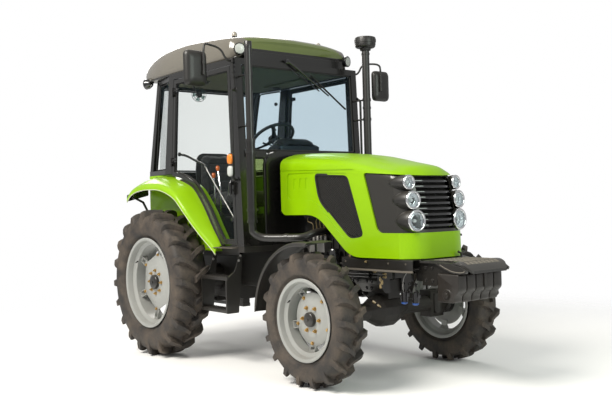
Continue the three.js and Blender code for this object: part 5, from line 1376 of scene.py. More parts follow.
cast_black = painted("cast_black", (0.0115, 0.009, 0.0074), 0.42, 0.15, 0.2, grain=0.45)
made = Shape()
for i in range(5):
    y0 = (i - 2) * 0.092 - 0.042
    outline = rounded([(2.716, 0.6), (2.858, 0.6), (2.862, 0.646), (2.9, 0.678), (2.9, 0.7897), (2.716, 0.7897)],
                      [0.014, 0.014, 0.02, 0.02, 0.016, 0.01])
    # Each casting has rounded edges and a raised boss round the rod.
    loops = [(0.0, 0.009), (0.002, 0.004), (0.004, 0.0015), (0.008, 0.0)]
    rows = [[spot(u, y0 + depth, v) for u, v in grown(outline, -into)] for into, depth in reversed(loops)]
    rows += [[spot(u, y0 + 0.084 - depth, v) for u, v in grown(outline, -into)] for into, depth in loops]
    made.loft(rows)
    if i in (0, 4):
        out = -1 if i == 0 else 1
        made.spun([(0.04, 0), (0.036, 0.0035)], (2.8, out * 0.226, 0.65), (0, out, 0), 28)
made.tube([(2.8, -0.25, 0.65), (2.8, 0.25, 0.65)], 0.014, 16)
made.slab(oblong(0.03, 0.69, 0.056, 0.8, 0.006), 2.9003, 2.906, front_on())
for side in (1, -1):
    made.bolt((2.8, side * 0.232, 0.65), (0, side, 0), 0.02, 0.014)
    made.tube([(2.8, side * 0.246, 0.668), (2.8, side * 0.246, 0.63)], 0.0025, 6)
item = made.made("cast_weights", "chassis", [cast_black], "iron", sharp=40)
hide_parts("front_weights")

# -------- sills under the bonnet and foot plates
# Folded sheet sills close the gap between the bonnet's edge and the rails, each with a return flange along its
# foot whose pale colour is a painted highlight. A checkered foot plate sticks out under each door, above the step.
# Pale warm black: a painted highlight on the sill flanges, and dust on the foot plates.
dust_and_highlight_black = painted("dust_and_highlight_black", (0.09, 0.078, 0.062), 0.6, 0.0, 0.6, grain=0.3)
for side_name, side in sides.items():
    made = Shape()
    sill = [(0.1985, 0.8735), (0.296, 0.8735), (0.302, 0.868), (0.302, 0.8), (0.298, 0.796), (0.298, 0.866),
            (0.294, 0.87), (0.1985, 0.87)]
    stations = [(1.86, 0.0), (2.48, 0.0), (2.552, 0.02)]
    made.loft([[spot(x, side * (y - pull if y > 0.2 else y), z) for y, z in sill] for x, pull in stations])
    # The flange's pale colour is a painted highlight along the ledge.
    made.coat = 1
    flange = [(0.298, 0.801), (0.3045, 0.801), (0.309, 0.789), (0.307, 0.786), (0.298, 0.788)]
    made.loft([[spot(x, side * (y - pull), z) for y, z in flange] for x, pull in stations])
    for x in (1.9, 2.12, 2.34, 2.5):
        made.bolt((x, side * (0.302 - (0.006 if x > 2.48 else 0)), 0.846), (0, side, 0), 0.006, 0.005)
    made.made(f"sill_{side_name}", "chassis", [frame_black, dust_and_highlight_black], "black", sharp=40)
    made = Shape()
    made.slab(oblong(0.64, 0.6503, 1.02, 0.712, [0.002, 0.002, 0.02, 0.02]), 0.938, 0.943,
              lambda u, v, w: spot(u, side * v, w))
    for i in range(14):
        for k in range(2):
            x, y = 0.66 + i * 0.026 + k * 0.013, 0.668 + k * 0.024
            lean = 0.007 if (i + k) % 2 else -0.007
            made.tube([(x - 0.007, side * y - lean, 0.9435), (x + 0.007, side * y + lean, 0.9435)], 0.0018, 6)
    made.made(f"foot_plate_{side_name}", "chassis", [dust_and_highlight_black], "black")

# -------- seat
# A suspension seat: two foam cushions in dark woven cloth, filled by air pressure from a tighter start, a
# moulded back shell, and a rubber bellows over the suspension on slide rails.
seat_cloth = Finish("seat_cloth")
weave = seat_cloth.node("ShaderNodeTexVoronoi", {}, Vector=seat_cloth.place(), Scale=330.0)
worn = seat_cloth.noise(14.0, 4.0)
seat_cloth.set(Base_Color=seat_cloth.blend(weave * worn, (0.012, 0.012, 0.013), (0.04, 0.04, 0.042)))
seat_cloth.set(Roughness=worn * 0.15 + 0.72, Sheen_Weight=0.25).bump(weave, 0.6, 0.0012)


def stuffed(item, grain, cap):
    """Fills a cushion: an even mesh, air pressure for twenty frames, and no point carried further than cap."""
    even = item.modifiers.new("even", "REMESH")
    even.mode = "VOXEL"
    even.voxel_size = grain
    even.use_smooth_shade = True
    settle(item)
    start = [vertex.co.copy() for vertex in item.data.vertices]
    cloth = item.modifiers.new("cloth", "CLOTH")
    cloth.settings.use_pressure = True
    cloth.settings.uniform_pressure_force = 4
    cloth.settings.effector_weights.gravity = 0
    for step in range(1, 21):
        bpy.context.scene.frame_set(step)
    settle(item)
    bpy.context.scene.frame_set(1)
    for vertex, before in zip(item.data.vertices, start):
        moved = vertex.co - before
        if moved.length > cap:
            vertex.co = before + moved * (cap / moved.length)


def sewn(item, channels, depth, width, low):
    """Presses the sewn channels into a cushion, keeps it flat on what it rests on, and smooths it once."""
    for vertex in item.data.vertices:
        away = min(channel(vertex.co) for channel in channels)
        vertex.co -= vertex.normal * depth * math.exp(-((away / width) ** 2))
        low(vertex.co)
    finer = item.modifiers.new("finer", "SUBSURF")
    finer.levels = finer.render_levels = 1
    for face in item.data.polygons:
        face.use_smooth = True
    wear(item, seat_cloth)


pad_top = [(-0.108, 1.297), (-0.104, 1.38), (0.08, 1.384), (0.25, 1.386), (0.318, 1.372), (0.328, 1.33),
           (0.318, 1.297)]
outline = rounded(pad_top, [0.01, 0.03, 0.1, 0.1, 0.035, 0.03, 0.012], 6)
made = Shape()
made.loft([[spot(u + (0.1 - u) * pull, y, 1.34 + (v - 1.34) * (1 - pull)) for u, v in outline]
           for y, pull in ((-0.222, 0.3), (-0.22, 0.1), (-0.205, 0.0), (0.205, 0.0), (0.22, 0.1), (0.222, 0.3))])
cushion = made.made("seat_pad", "chassis", [seat_cloth])
stuffed(cushion, 0.006, 0.024)
across_seat = [lambda p, y=y: abs(p.y - y) + (0 if p.z > 1.32 else 1) for y in (-0.145, 0.145)]
along_seat = [lambda p, x=x: abs(p.x - rear_axle_x - x) + (0 if p.z > 1.36 and abs(p.y) < 0.145 else 1)
              for x in (-0.02, 0.07, 0.16, 0.25)]
sewn(cushion, [*across_seat, *along_seat], 0.006, 0.007, lambda p: setattr(p, "z", max(p.z, 1.2865)))
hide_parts("seat_cushion")

lean_back = lambda z: -0.172 - (z - 1.36) * 0.19
outline = rounded([(-0.205, 1.362), (0.205, 1.362), (0.222, 1.56), (0.175, 1.772), (-0.175, 1.772), (-0.222, 1.56)],
                  [0.04, 0.04, 0.3, 0.07, 0.07, 0.3], 8)
made = Shape()
made.loft([[spot(lean_back(v) + w, u, v) for u, v in grown(outline, -into)]
           for w, into in ((-0.04, 0.024), (-0.036, 0.004), (-0.02, 0.0), (0.004, 0.002), (0.014, 0.01),
                           (0.02, 0.026))])
backrest = made.made("seat_back_pad", "chassis", [seat_cloth])
stuffed(backrest, 0.006, 0.022)
in_front = lambda p: p.x - rear_axle_x - lean_back(p.z)
up_back = [lambda p, y=y: abs(p.y - y) + (0 if in_front(p) > -0.02 else 1) for y in (-0.135, 0.135)]
ribs = [lambda p, z=z: abs(p.z - z) + (0 if in_front(p) > 0 and abs(p.y) < 0.135 else 1)
        for z in (1.44, 1.52, 1.6, 1.68)]
sewn(backrest, [*up_back, *ribs], 0.006, 0.007,
     lambda p: setattr(p, "x", max(p.x, lean_back(p.z) - 0.045 + rear_axle_x)))
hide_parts("seat_back")

made = Shape()
made.slab(rounded([(-0.225, 1.33), (0.225, 1.33), (0.238, 1.56), (0.185, 1.786), (-0.185, 1.786), (-0.238, 1.56)],
                  [0.05, 0.05, 0.3, 0.08, 0.08, 0.3], 8), -0.062, -0.05, lambda u, v, w: spot(lean_back(v) + w, u, v))
made.slab(rounded([(-0.11, 1.262), (0.3, 1.262), (0.326, 1.284), (-0.13, 1.284)], 0.008), -0.215, 0.215, side_on())
for side in (1, -1):
    made.slab(rounded([(-0.23, 1.35), (-0.15, 1.262), (0.05, 1.262), (0.05, 1.29), (-0.13, 1.3), (-0.195, 1.38)],
                      0.012), side * 0.224, side * 0.234, side_on())
    made.box((-0.13, side * 0.155 - 0.012, 1.181), (0.27, side * 0.155 + 0.012, 1.196))
made.coat = 1
folds, rows = 6, []
for k in range(folds * 6 + 1):
    z = 1.196 + (1.262 - 1.196) * k / (folds * 6)
    out = 0.014 * cos(tau * k / 6) - 0.014
    rows.append([spot(u, v, z) for u, v in oblong(-0.135 - out, -0.16 - out, 0.245 + out, 0.16 + out, 0.04, 5)])
made.loft(rows)
# Weight adjuster, slide lever and recliner knob.
made.coat = 0
made.spun([(0.026, 0), (0.026, 0.02), (0.02, 0.028)], (0.3, -0.06, 1.24), (1, 0, 0), 24)
made.tube([(0.24, 0.1, 1.19), (0.31, 0.1, 1.186), (0.33, 0.1, 1.2)], 0.006)
made.spun([(0.03, 0), (0.03, 0.014), (0.012, 0.022)], (-0.17, -0.234, 1.33), (0, -1, 0), 24)
item = made.made("seat_suspension", "chassis", [moulded, rubber], "black", bevel=0.0015, sharp=35)
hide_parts("seat_base")

# -------- steering wheel and column
# A moulded rim with thumb grips and three spokes on a splined column that leans back towards the driver.
tilt = radians(35)
wheel_up = Vector((-sin(tilt), 0, cos(tilt)))
wheel_ahead = Vector((cos(tilt), 0, sin(tilt)))
wheel_left = Vector((0, 1, 0))
wheel_at = spot(0.65, 0.0, 1.86)
on_wheel = lambda r, a, up: wheel_at + (wheel_ahead * cos(a) + wheel_left * sin(a)) * r + wheel_up * up
made, rows = Shape(), []
for a in turns(120):
    grip = 0.0142 + 0.0006 * cos(30 * a)
    rows.append([on_wheel(0.19 + grip * cos(b), a, grip * sin(b)) for b in turns(16)])
made.hoop(rows)
for angle in (90, 210, 330):
    a, rows = radians(angle), []
    for r, half, thick, up in ((0.03, 0.03, 0.008, -0.02), (0.07, 0.022, 0.006, -0.022), (0.12, 0.017, 0.0055, -0.014),
                               (0.16, 0.018, 0.006, -0.004), (0.184, 0.024, 0.008, 0.0)):
        side_way = wheel_left * cos(a) - wheel_ahead * sin(a)
        rows.append([on_wheel(r, a, up + thick * sin(b)) + side_way * half * cos(b)
                     for b in turns(14)])
    made.loft(rows)
made.turned([(0, -0.06), (0.022, -0.06), (0.034, -0.036), (0.042, -0.012), (0.044, 0.0), (0.04, 0.01), (0.03, 0.014),
             (0, 0.015)], wheel_at, wheel_up, 40)
item = made.made("steering_rim", "steering_wheel", [moulded], "plastic", sharp=40)
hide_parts("steering_wheel")

# -------- instrument console
# A moulded console stands on the floor behind the bulkhead. It carries the column shroud, an instrument
# hood with its dial face, switches and the stalks.
dial_face = Finish("dial_face")
rings = dial_face.node("ShaderNodeTexVoronoi", {}, Vector=dial_face.place(), Scale=55.0)
dial_face.set(Base_Color=dial_face.blend((rings * 2.5).clamped(), (0.1, 0.11, 0.12), (0.012, 0.013, 0.015)),
              Roughness=0.25)
dial_face.set(Coat_Weight=1.0, Coat_Roughness=0.03)
side_of = [(0.902, 0.952), (1.03, 0.952), (1.03, 1.763), (0.962, 1.792), (0.846, 1.758), (0.838, 1.64), (0.905, 1.556)]
outline = rounded(side_of, [0.02, 0.004, 0.004, 0.03, 0.04, 0.03, 0.08], 6)
made = Shape()
rows = []
for y, pull in ((-0.2145, 0.045), (-0.214, 0.03), (-0.206, 0.01), (-0.19, 0.0), (0.19, 0.0), (0.206, 0.01),
                (0.214, 0.03), (0.2145, 0.045)):
    rows.append([spot(min(u, 1.03), y, v) for u, v in grown(outline, -0.35 * pull)])
made.loft(rows)
# Column shroud and the hood over the instruments.
made.spun([(0.052, 0.0), (0.05, 0.1), (0.04, 0.19), (0.032, 0.232), (0.024, 0.236)],
          wheel_at - wheel_up * 0.3, wheel_up, 32)
hood = smooth_line([(0.842, 1.75), (0.846, 1.79), (0.88, 1.822), (0.94, 1.832), (1.0, 1.812), (1.03, 1.78)], 4)
drops = [(-0.165, 0.03), (-0.15, 0.01), (-0.12, 0.0), (0.12, 0.0), (0.15, 0.01), (0.165, 0.03)]
rows = [[spot(u, y, v - drop) for u, v in hood] for y, drop in drops]
lower = [[spot(u, y, min(v - drop - 0.006, 1.786)) for u, v in hood] for y, drop in reversed(drops)]
made.sheet([*rows, *lower], wrap_rows=True)
for y in (-0.18, -0.155, 0.15, 0.178):
    made.box((0.836, y - 0.009, 1.668), (0.846, y + 0.009, 1.7))
made.coat = 1
made.slab(oblong(-0.11, 1.77, 0.11, 1.815, 0.012), 0.86, 0.864, front_on())
made.coat = 0
# Shuttle and indicator stalks, and the column they stand on.
for side in (1, -1):
    root = wheel_at - wheel_up * 0.09
    made.tube([root, root + wheel_left * side * 0.08 + wheel_up * 0.012,
               root + wheel_left * side * 0.135 + wheel_up * 0.03],
              [0.006, 0.005, 0.009])
made.tube([wheel_at - wheel_up * 0.3, wheel_at - wheel_up * 0.062], 0.016, 16)
item = made.made("console", "chassis", [moulded, dial_face], "plastic", sharp=35)
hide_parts("dashboard")

# -------- levers, pedals and mat
# Chromed lever rods with orange knobs rise through rubber gaiters beside the seat; hanging pedals with
# ribbed pads stand in front of the console, over a moulded rubber mat.
knob_orange = painted("knob_orange", (0.56, 0.115, 0.01), 0.34, 0.4, 0.05)
made = Shape()
levers = [((0.3, -0.33, 1.185), (0.29, -0.322, 1.38), (0.221, -0.3, 1.6)),
          ((0.2, -0.33, 1.185), (0.196, -0.32, 1.34), (0.15, -0.3, 1.54)),
          ((0.29, 0.33, 1.185), (0.288, 0.322, 1.36), (0.28, 0.3, 1.52)),
          ((0.18, 0.33, 1.185), (0.176, 0.32, 1.33), (0.16, 0.3, 1.48))]
for foot, bend, top in levers:
    made.coat = 0
    path = smooth_line([foot, bend, top], 6)
    made.tube(path, 0.006, 10)
    made.coat = 1
    knob = (Vector(path[-1]) - Vector(path[-2])).normalized()
    made.turned([(0.006, -0.012), (0.012, -0.008), (0.018, 0.01), (0.019, 0.024), (0.014, 0.036), (0, 0.04)], path[-1],
                knob, 20)
    made.coat = 2
    made.spun([(0.04, -0.004), (0.04, 0.004), (0.03, 0.008), (0.032, 0.016), (0.022, 0.02), (0.024, 0.028),
               (0.014, 0.032), (0.009, 0.042)], foot, (0, 0, 1), 24)
made.coat = 3
for y, z in ((-0.17, 1.09), (-0.085, 1.09), (0.15, 1.1)):
    made.tube([(0.912, y, 1.5), (0.86, y, 1.3), (0.8, y, z + 0.01)], 0.008, 8)
    pad = oblong(y - 0.032, -0.03, y + 0.032, 0.03, 0.008)
    made.slab(pad, -0.004, 0.004, lambda u, v, w: spot(0.796 + v * 0.5 + w * 0.86, u, z + v * 0.86 - w * 0.5))
    for k in range(-2, 3):
        v = k * 0.01
        made.tube([(0.7925 + v * 0.5, y - 0.026, z + 0.002 + v * 0.86),
                   (0.7925 + v * 0.5, y + 0.026, z + 0.002 + v * 0.86)],
                  0.0022, 6)
made.made("levers_and_pedals", "chassis", [chrome, knob_orange, rubber, frame_black], "plastic")

made = Shape()
made.slab(oblong(0.34, -0.56, 0.89, 0.56, 0.03), 0.9503, 0.956, spot)
for k in range(34):
    y = -0.528 + k * 0.032
    made.tube([(0.365, y, 0.9565), (0.865, y, 0.9565)], 0.0035, 6)
floor_mat = painted("floor_mat", (0.02, 0.019, 0.018), 0.62, 0.0, 0.55, grain=0.5)
made.made("rubber_mat", "chassis", [floor_mat], "black")
platform_black = painted("platform_black", (0.0105, 0.0098, 0.009), 0.4, 0.15, 0.6)
dress(platform_black, "cab_floor", bevel=0.003)

# -------- engine fittings
# What is bolted to the block: valve cover, manifold, injection pump and pipes, filters, alternator, fan and
# belt, radiator core and hoses. Pipes are plated steel, hoses are rubber with band clamps.
pipe_gold = painted("pipe_gold", (0.34, 0.25, 0.11), 0.34, 0.2, 0.35)
alloy = painted("cast_alloy", (0.24, 0.235, 0.225), 0.46, 0.0, 0.55, grain=0.35)
alloy.set(Metallic=0.75)
made = Shape()
# Valve cover with its cap, ribs down the sides of the block and the bolted flange of the oil pan.
cover = rounded([(-0.105, 1.331), (0.105, 1.331), (0.1, 1.392), (-0.1, 1.392)], [0.004, 0.004, 0.03, 0.03], 5)
made.slab(cover, 1.33, 1.8, front_on())
for x in (1.36, 1.48, 1.6, 1.72, 1.78):
    made.bolt((x, 0.0, 1.391), (0, 0, 1), 0.01, 0.01)
made.spun([(0.03, 0), (0.03, 0.02), (0.022, 0.026)], (1.42, -0.055, 1.39), (0, 0, 1), 20)
for side in (1, -1):
    for k in range(7):
        made.box((1.34 + k * 0.068, side * 0.176 - 0.006, 0.64), (1.352 + k * 0.068, side * 0.176 + 0.006, 1.0))
    made.box((1.305, side * 0.177 - 0.007, 0.6), (1.825, side * 0.177 + 0.007, 0.625))
    for k in range(12):
        made.bolt((1.325 + k * 0.044, side * 0.184, 0.612), (0, side, 0), 0.007, 0.006)
# Exhaust manifold on the right, inlet manifold on the left.
for side, end in ((-1, 1.56), (1, 1.5)):
    for x in (1.36, 1.46, 1.56, 1.66, 1.76):
        made.tube([(x, side * 0.168, 1.235), (x, side * 0.2, 1.225), (x + (end - x) * 0.18, side * 0.214, 1.195)],
                  0.021)
    made.tube([(1.345, side * 0.216, 1.19), (1.775, side * 0.216, 1.19)], 0.026, 14)
# Injection pump, oil filter and starter on the right side; alternator on the left.
made.coat = 1
made.box((1.42, -0.25, 0.9), (1.6, -0.178, 0.985))
for x in (1.44, 1.485, 1.53, 1.575):
    made.spun([(0.014, 0), (0.014, 0.03), (0.009, 0.04)], (x, -0.215, 0.984), (0, 0, 1), 12)
made.spun([(0.046, 0), (0.046, 0.11), (0.04, 0.118)], (1.7, 0.178, 1.02), (0, 1, 0), 32)
made.spun([(0.052, 0), (0.052, 0.02), (0.036, 0.026), (0.036, 0.14)], (1.33, -0.225, 0.76), (1, 0, 0), 28)
made.coat = 2
made.spun([(0.042, 0), (0.046, 0.01), (0.046, 0.128), (0.036, 0.142)], (1.69, -0.228, 0.79), (0, 0, 1), 32)
# Injection pipes.
made.coat = 3
for k, x in enumerate((1.44, 1.485, 1.53, 1.575)):
    made.tube(smooth_line([(x, -0.215, 1.022), (x, -0.222, 1.08), (x + 0.02, -0.246, 1.12 + 0.012 * k),
                           (1.4 + 0.11 * k, -0.246, 1.15), (1.4 + 0.11 * k, -0.185, 1.262),
                           (1.4 + 0.11 * k, -0.12, 1.32)], 5), 0.0035, 6)
made.made("engine_fittings", "chassis", [cast_iron, alloy, gloss_black, pipe_gold], "iron", bevel=0.002, sharp=40)

made = Shape()
# Fan, pulleys and belt between the block and the radiator.
for size, groove, z, steps in ((0.075, 0.062, 0.79, 36), (0.055, 0.045, 1.13, 32)):
    made.spun([(size, 0), (size, 0.006), (groove, 0.014), (size, 0.022), (size, 0.028)], (1.87, 0.0, z), (1, 0, 0),
              steps)
made.spun([(0.032, 0), (0.032, 0.028)], (1.87, 0.155, 1.02), (1, 0, 0), 24)
made.tube([(1.834, 0.0, 1.13), (1.96, 0.0, 1.13)], 0.018)
made.tube([(1.834, 0.0, 0.79), (1.88, 0.0, 0.79)], 0.018)
made.tube([(1.76, 0.155, 1.02), (1.872, 0.155, 1.02)], 0.01)
for a in turns(7):
    rows = []
    for r in (0.04, 0.09, 0.15, 0.205):
        wide = 0.02 + 0.1 * r
        rows.append([spot(1.955 + s * 0.018, r * cos(a) - s * wide * sin(a), 1.13 + r * sin(a) + s * wide * cos(a))
                     for s in (-1, 0, 1)])
    made.sheet(rows)
    made.sheet([[point + Vector((0.003, 0, 0)) for point in row] for row in rows])
made.coat = 1
belt = grown([(0.052 * cos(a), 1.13 + 0.052 * sin(a)) for a in np.linspace(pi, 0.55, 12)]
             + [(0.155 + 0.029 * cos(a), 1.02 + 0.029 * sin(a)) for a in np.linspace(0.9, -0.9, 8)]
             + [(0.072 * cos(a), 0.79 + 0.072 * sin(a)) for a in np.linspace(-0.4, -pi, 14)], 0.0)
rows = [[spot(1.884 + w, y + out * 0.02, z) for y, z in belt] for w, out in ((-0.006, 0), (0.006, 0))]
inner = [[spot(1.884 + w, y, z) for y, z in grown(belt, -0.006)] for w in (0.006, -0.006)]
made.hoop([*rows, *inner])
made.made("fan_and_belt", "chassis", [alloy, rubber], "iron", sharp=40)

made = Shape()
# Radiator core, its top and bottom hoses, and the battery with its two posts behind the grille.
for k in range(60):
    z = 0.9 + k * 0.0079
    made.box((2.1103, -0.19, z), (2.118, 0.19, z + 0.0025))
for k in range(20):
    y = -0.182 + k * 0.0192
    made.box((2.1103, y - 0.002, 0.9), (2.116, y + 0.002, 1.37))
made.coat = 1
hose_top = smooth_line([(1.8, -0.05, 1.35), (1.87, -0.06, 1.376), (1.96, -0.075, 1.372), (2.03, -0.085, 1.345)], 6)
hose_low = smooth_line([(1.836, 0.11, 0.7), (1.9, 0.13, 0.77), (1.96, 0.14, 0.89), (2.03, 0.145, 0.93)], 6)
made.tube(hose_top, 0.022, 14)
made.tube(hose_low, 0.022, 14)
made.coat = 2
for hose in (hose_top, hose_low):
    for i in (2, len(hose) - 3):
        ahead = Vector(hose[i + 1]) - Vector(hose[i])
        clamp_ring(made, hose[i], 0.0222, ahead, 0.01)
made.coat = 3
made.box((2.19, -0.16, 0.8725), (2.4, 0.16, 1.06))
for y in (-0.11, 0.11):
    made.spun([(0.012, 0), (0.01, 0.018)], (2.23, y, 1.059), (0, 0, 1), 14)
made.made("cooling", "chassis", [alloy, rubber, zinc, moulded], "iron", sharp=40)

# -------- pipes and wiring along the frame
# The loom and two plated pipes are clipped along each rail. Rubber hoses with plated ends run down to the
# axle, and two filter bowls with blue caps are bolted to the right rail.
cap_blue = painted("cap_blue", (0.02, 0.085, 0.33), 0.36, 0.3, 0.2)
made = Shape()
for side in (1, -1):
    # Loom and two steel pipes clipped to the outside of the rail.
    made.coat = 0
    made.tube(smooth_line([(1.32, side * 0.182, 0.93), (1.42, side * 0.205, 0.84), (1.56, side * 0.206, 0.82),
                           (2.1, side * 0.206, 0.815), (2.42, side * 0.206, 0.8), (2.54, side * 0.203, 0.815)], 6),
              0.0085, 10)
    made.coat = 3
    for z in (0.76, 0.738):
        made.tube(smooth_line([(1.52, side * 0.202, z), (1.7, side * 0.203, z), (1.86, side * 0.203, z - 0.01),
                               (2.2, side * 0.203, z)], 5), 0.0045, 8)
        made.coat = 1
        for x in (1.52, 2.2):
            made.spun([(0.01, -0.012), (0.01, 0.012)], (x, side * 0.203, z), (1, 0, 0), 6)
        made.coat = 3
    for x in (1.6, 1.78, 2.06, 2.3, 2.48):
        made.slab(oblong(x - 0.009, 0.724, x + 0.009, 0.832, 0.004), 0.208, 0.2165, side_on(side))
        made.bolt((x, side * 0.2165, 0.786), (0, side, 0), 0.006, 0.005)
    # Rail bolts in two rows where the block and the axle bracket fasten.
    for x in (1.53, 1.58, 1.64, 1.86, 1.91, 2.01, 2.06, 2.38, 2.44, 2.5):
        for z in (0.65, 0.7):
            made.bolt((x, side * 0.1975, z), (0, side, 0), 0.011, 0.01)
    # Steering cylinder hoses down to the axle.
    made.coat = 0
    for lead in (0.0, 0.045):
        made.tube(smooth_line([(1.72 + lead, side * 0.2, 0.7), (1.715 + lead, side * 0.232, 0.64),
                               (1.75 + lead, side * 0.262, 0.56), (1.8 + lead * 0.6, side * 0.268, 0.5)], 6), 0.0075,
                  8)
    made.coat = 1
    for lead in (0.0, 0.045):
        made.spun([(0.011, -0.014), (0.011, 0.014)], (1.72 + lead, side * 0.199, 0.706), (0, 0.5, -1), 6)
# A hose with plated ends on the right rail, and the filter bowls.
made.coat = 0
made.tube(smooth_line([(1.86, -0.206, 0.88), (1.94, -0.24, 0.862), (2.04, -0.24, 0.82), (2.11, -0.212, 0.78)], 6),
          0.011, 10)
made.coat = 1
for place, axis in (((1.856, -0.206, 0.881), (1, -0.4, -0.1)), ((2.113, -0.211, 0.778), (0.8, 0.4, -0.5))):
    made.spun([(0.014, -0.02), (0.014, 0.004), (0.01, 0.012)], place, axis, 6)
for x in (2.415, 2.52):
    made.coat = 3
    made.spun([(0.026, 0), (0.026, 0.068), (0.02, 0.072)], (x, -0.228, 0.65), (0, 0, -1), 20)
    made.box((x - 0.02, -0.212, 0.612), (x + 0.02, -0.198, 0.646))
    made.coat = 4
    made.spun([(0.022, 0), (0.022, 0.01), (0.014, 0.015)], (x, -0.228, 0.5785), (0, 0, -1), 20)
made.coat = 5
made.tube(smooth_line([(2.415, -0.24, 0.652), (2.43, -0.256, 0.7), (2.438, -0.252, 0.75), (2.44, -0.215, 0.79)], 6),
          0.0025, 6)
# A steering hose runs forward to the axle, and a cluster of plated unions hangs under the sill.
made.coat = 3
made.tube(smooth_line([(1.96, -0.225, 0.65), (2.04, -0.262, 0.614), (2.12, -0.264, 0.575), (2.205, -0.262, 0.533)], 6),
          0.005, 8)
made.coat = 1
for place, axis, size in (((2.15, -0.264, 0.561), (0.9, 0, -0.4), 0.009),
                          ((2.195, -0.262, 0.538), (0.9, 0, -0.4), 0.008), ((2.18, -0.226, 0.722), (0, -0.3, 1), 0.01),
                          ((2.196, -0.226, 0.7), (0.3, 0, 1), 0.009), ((2.182, -0.228, 0.672), (-0.2, 0, 1), 0.008),
                          ((2.122, -0.308, 0.852), (0.4, -1, 0), 0.007)):
    made.spun([(size, -0.014), (size, 0.006), (size * 0.6, 0.01), (size * 0.6, 0.018)], place, axis, 6)
made.made("pipes_and_wiring", "chassis", [rubber, pipe_gold, frame_black, gloss_black, cap_blue, bare_steel], "black",
          sharp=40)

# -------- fuel tank
# A rotomoulded tank hangs under the platform on the left in two steel straps. Its cap is on the outer
# side and its drain plug underneath.
dress(moulded, "fuel_tank", bevel=0.014)
made = Shape()
for x in (0.52, 0.88):
    band = oblong(0.2385, 0.6385, 0.5615, 0.9045, 0.014)
    made.hoop([[spot(x + w, y, z) for y, z in grown(band, out)]
               for w, out in ((-0.016, 0.0), (-0.016, 0.002), (0.016, 0.002), (0.016, 0.0))])
    made.bolt((x, 0.564, 0.86), (0, 1, 0), 0.008, 0.012)
made.spun([(0.036, 0), (0.038, 0.006), (0.038, 0.026), (0.03, 0.032)], (0.7, 0.56, 0.83), (0, 1, 0), 28)
made.bolt((0.48, 0.4, 0.64), (0, 0, -1), 0.012, 0.01)
made.made("tank_straps", "chassis", [frame_black], "black", sharp=35)

# -------- steering rod
# The ball-jointed steering rod behind the axle keeps its forged tube; rubber boots and plated lock nuts
# stand at its ends.
dress(cast_black, "tie_rod", bevel=0.003)
made = Shape()
for side in (1, -1):
    made.coat = 0
    boot = [(0.0145, 0.0), (0.019, 0.006), (0.016, 0.012), (0.02, 0.018), (0.016, 0.024), (0.02, 0.03),
            (0.0145, 0.036)]
    made.turned([(0.012, 0.0), *boot, (0.012, 0.036)], (1.83, side * 0.44, 0.452), (0, side, 0), 24)
    made.coat = 1
    made.turned([(0.01, 0.0), (0.019, 0.0), (0.019, 0.014), (0.01, 0.014)], (1.83, side * 0.42, 0.452), (0, side, 0),
                6)
made.made("steering_boots", "tie_rod", [rubber, zinc], "iron", sharp=40)

# -------- rear linkage
# Forged arms, rods and links in black paint. Plated bushes stand in the lower links' eyes, a threaded
# adjuster on each lift rod and on the top link, and a pin with its clip in the top link's end.
dress(cast_black, "lift_arms", "lift_rod_left", "lift_rod_right", "lower_link_left", "lower_link_right", "top_link",
      "drawbar", bevel=0.003)
linkage_steel = Finish("linkage_steel")
scuff = linkage_steel.noise(30.0, 5.0)
linkage_steel.set(Base_Color=linkage_steel.blend(scuff, (0.3, 0.28, 0.24), (0.46, 0.44, 0.4)), Metallic=0.85)
linkage_steel.set(Roughness=scuff * 0.3 + 0.28)


def linkage_pin(made, place, half, radius=0.01):
    x, y, z = place
    made.turned([(0, -half), (radius, -half), (radius, half + 0.016), (radius * 0.7, half + 0.02), (0, half + 0.02)],
                place, (0, 1, 0), 18)
    made.turned([(radius, -half - 0.004), (radius * 1.7, -half - 0.004), (radius * 1.7, -half), (radius, -half)],
                place, (0, 1, 0), 18)
    ring = [spot(x + radius * 1.6 * cos(a), y + half + 0.012, z + radius * 1.6 * sin(a))
            for a in np.linspace(0.3, tau - 0.3, 14)]
    made.tube(ring, 0.0018, 6)


for side_name, side in sides.items():
    made = Shape()
    for x, y, z in ((-0.09, 0.25, 0.415), (-0.86, 0.33, 0.47)):
        for face in (1, -1):
            at = spot(x, side * y + face * 0.0203, z)
            made.turned([(0.013, 0), (0.028, 0), (0.028, 0.0015), (0.022, 0.0035), (0.013, 0.0045)], at, (0, face, 0),
                        28)
    made.made(f"link_bushes_{side_name}", f"lower_link_{side_name}", [linkage_steel], "iron", sharp=40)
    made = Shape()
    top, foot = spot(-0.43, side * 0.266, 0.88), spot(-0.48, side * 0.2905, 0.4805)
    along = (foot - top).normalized()
    length = (foot - top).length
    made.turned([(0.012, length * 0.3), (0.019, length * 0.3), (0.019, length * 0.62), (0.012, length * 0.62)], top,
                along, 24)
    for reach in (length * 0.27, length * 0.62):
        made.turned([(0.012, reach), (0.023, reach), (0.023, reach + 0.012), (0.012, reach + 0.012)], top, along, 6)
    grip = top + along * length * 0.46
    made.tube([grip + Vector((-0.018, 0, 0)), grip + Vector((-0.075, 0, 0.0)), grip + Vector((-0.082, 0, -0.03))],
              0.0055, 8)
    made.made(f"rod_adjuster_{side_name}", f"lift_rod_{side_name}", [linkage_steel], "iron", sharp=40)

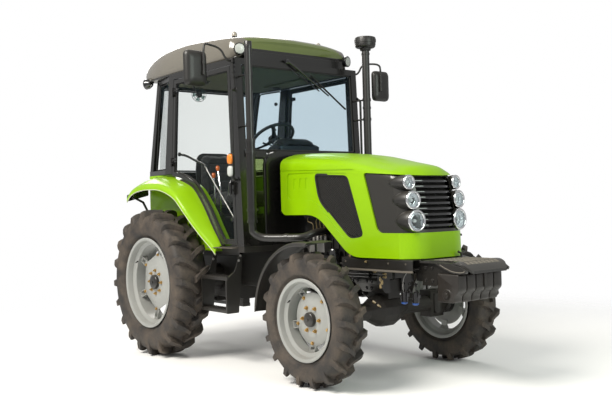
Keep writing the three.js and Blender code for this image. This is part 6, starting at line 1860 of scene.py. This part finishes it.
made = Shape()
head, tail = spot(-0.285, 0, 0.83), spot(-0.78, 0, 0.8)
along = (tail - head).normalized()
made.turned([(0.0172, 0.13), (0.024, 0.136), (0.024, 0.356), (0.0172, 0.362)], head, along, 28)
for reach in (0.112, 0.366):
    made.turned([(0.0172, reach), (0.028, reach), (0.028, reach + 0.014), (0.0172, reach + 0.014)], head, along, 6)
middle = head + along * 0.246
made.tube([middle + Vector((0, -0.07, 0)), middle + Vector((0, 0.07, 0))], 0.0055, 10)
linkage_pin(made, (-0.78, 0.0, 0.8), 0.0235)
made.made("top_link_adjuster", "top_link", [linkage_steel], "iron", sharp=40)

made = Shape()
# Power shaft with its guard, hose couplers with dust caps, and the drawbar pin.
made.spun([(0.0175, -0.01), (0.0175, 0.016), (0.0145, 0.02), (0.0145, 0.026), (0.0175, 0.03), (0.0175, 0.068),
           (0.0155, 0.072)], (-0.329, 0.0, 0.6), (-1, 0, 0), 12)
made.spun([(0.06, 0), (0.06, 0.008)], (-0.3285, 0.0, 0.6), (-1, 0, 0), 36)
for y, z in circle(0, 0.6, 0.048, 6):
    made.bolt((-0.3365, y, z), (-1, 0, 0), 0.006, 0.005)
made.turned([(0, -0.095), (0.012, -0.095), (0.012, 0.052), (0.02, 0.052), (0.02, 0.06), (0, 0.062)],
            (-0.52, 0.0, 0.38), (0, 0, 1), 20)
made.tube([(-0.52, -0.016, 0.439), (-0.52, -0.016, 0.47), (-0.52, 0.016, 0.47), (-0.52, 0.016, 0.439)], 0.004, 8)
made.coat = 1
rows = []
for x in (-0.3285, -0.45):
    rows.append([spot(x, 0.11 * cos(a), 0.6 + 0.11 * sin(a)) for a in np.linspace(0.15, pi - 0.15, 20)])
made.sheet([*rows, *[[point - Vector((0, 0, 0.003)) for point in row] for row in reversed(rows)]], wrap_rows=True)
for y in (0.13, 0.172):
    for side in (1, -1):
        made.coat = 1
        made.box((-0.352, side * y - 0.018, 0.78), (-0.3285, side * y + 0.018, 0.822))
        made.coat = 0
        made.spun([(0.014, 0), (0.014, 0.02), (0.017, 0.022), (0.017, 0.036)], (-0.352, side * y, 0.8), (-1, 0, 0), 20)
        made.coat = 2
        made.spun([(0.0185, 0), (0.0185, 0.016), (0.012, 0.022)], (-0.387, side * y, 0.8), (-1, 0, 0), 20)
made.made("rear_fittings", "chassis", [linkage_steel, frame_black, pipe_gold], "iron", sharp=40)
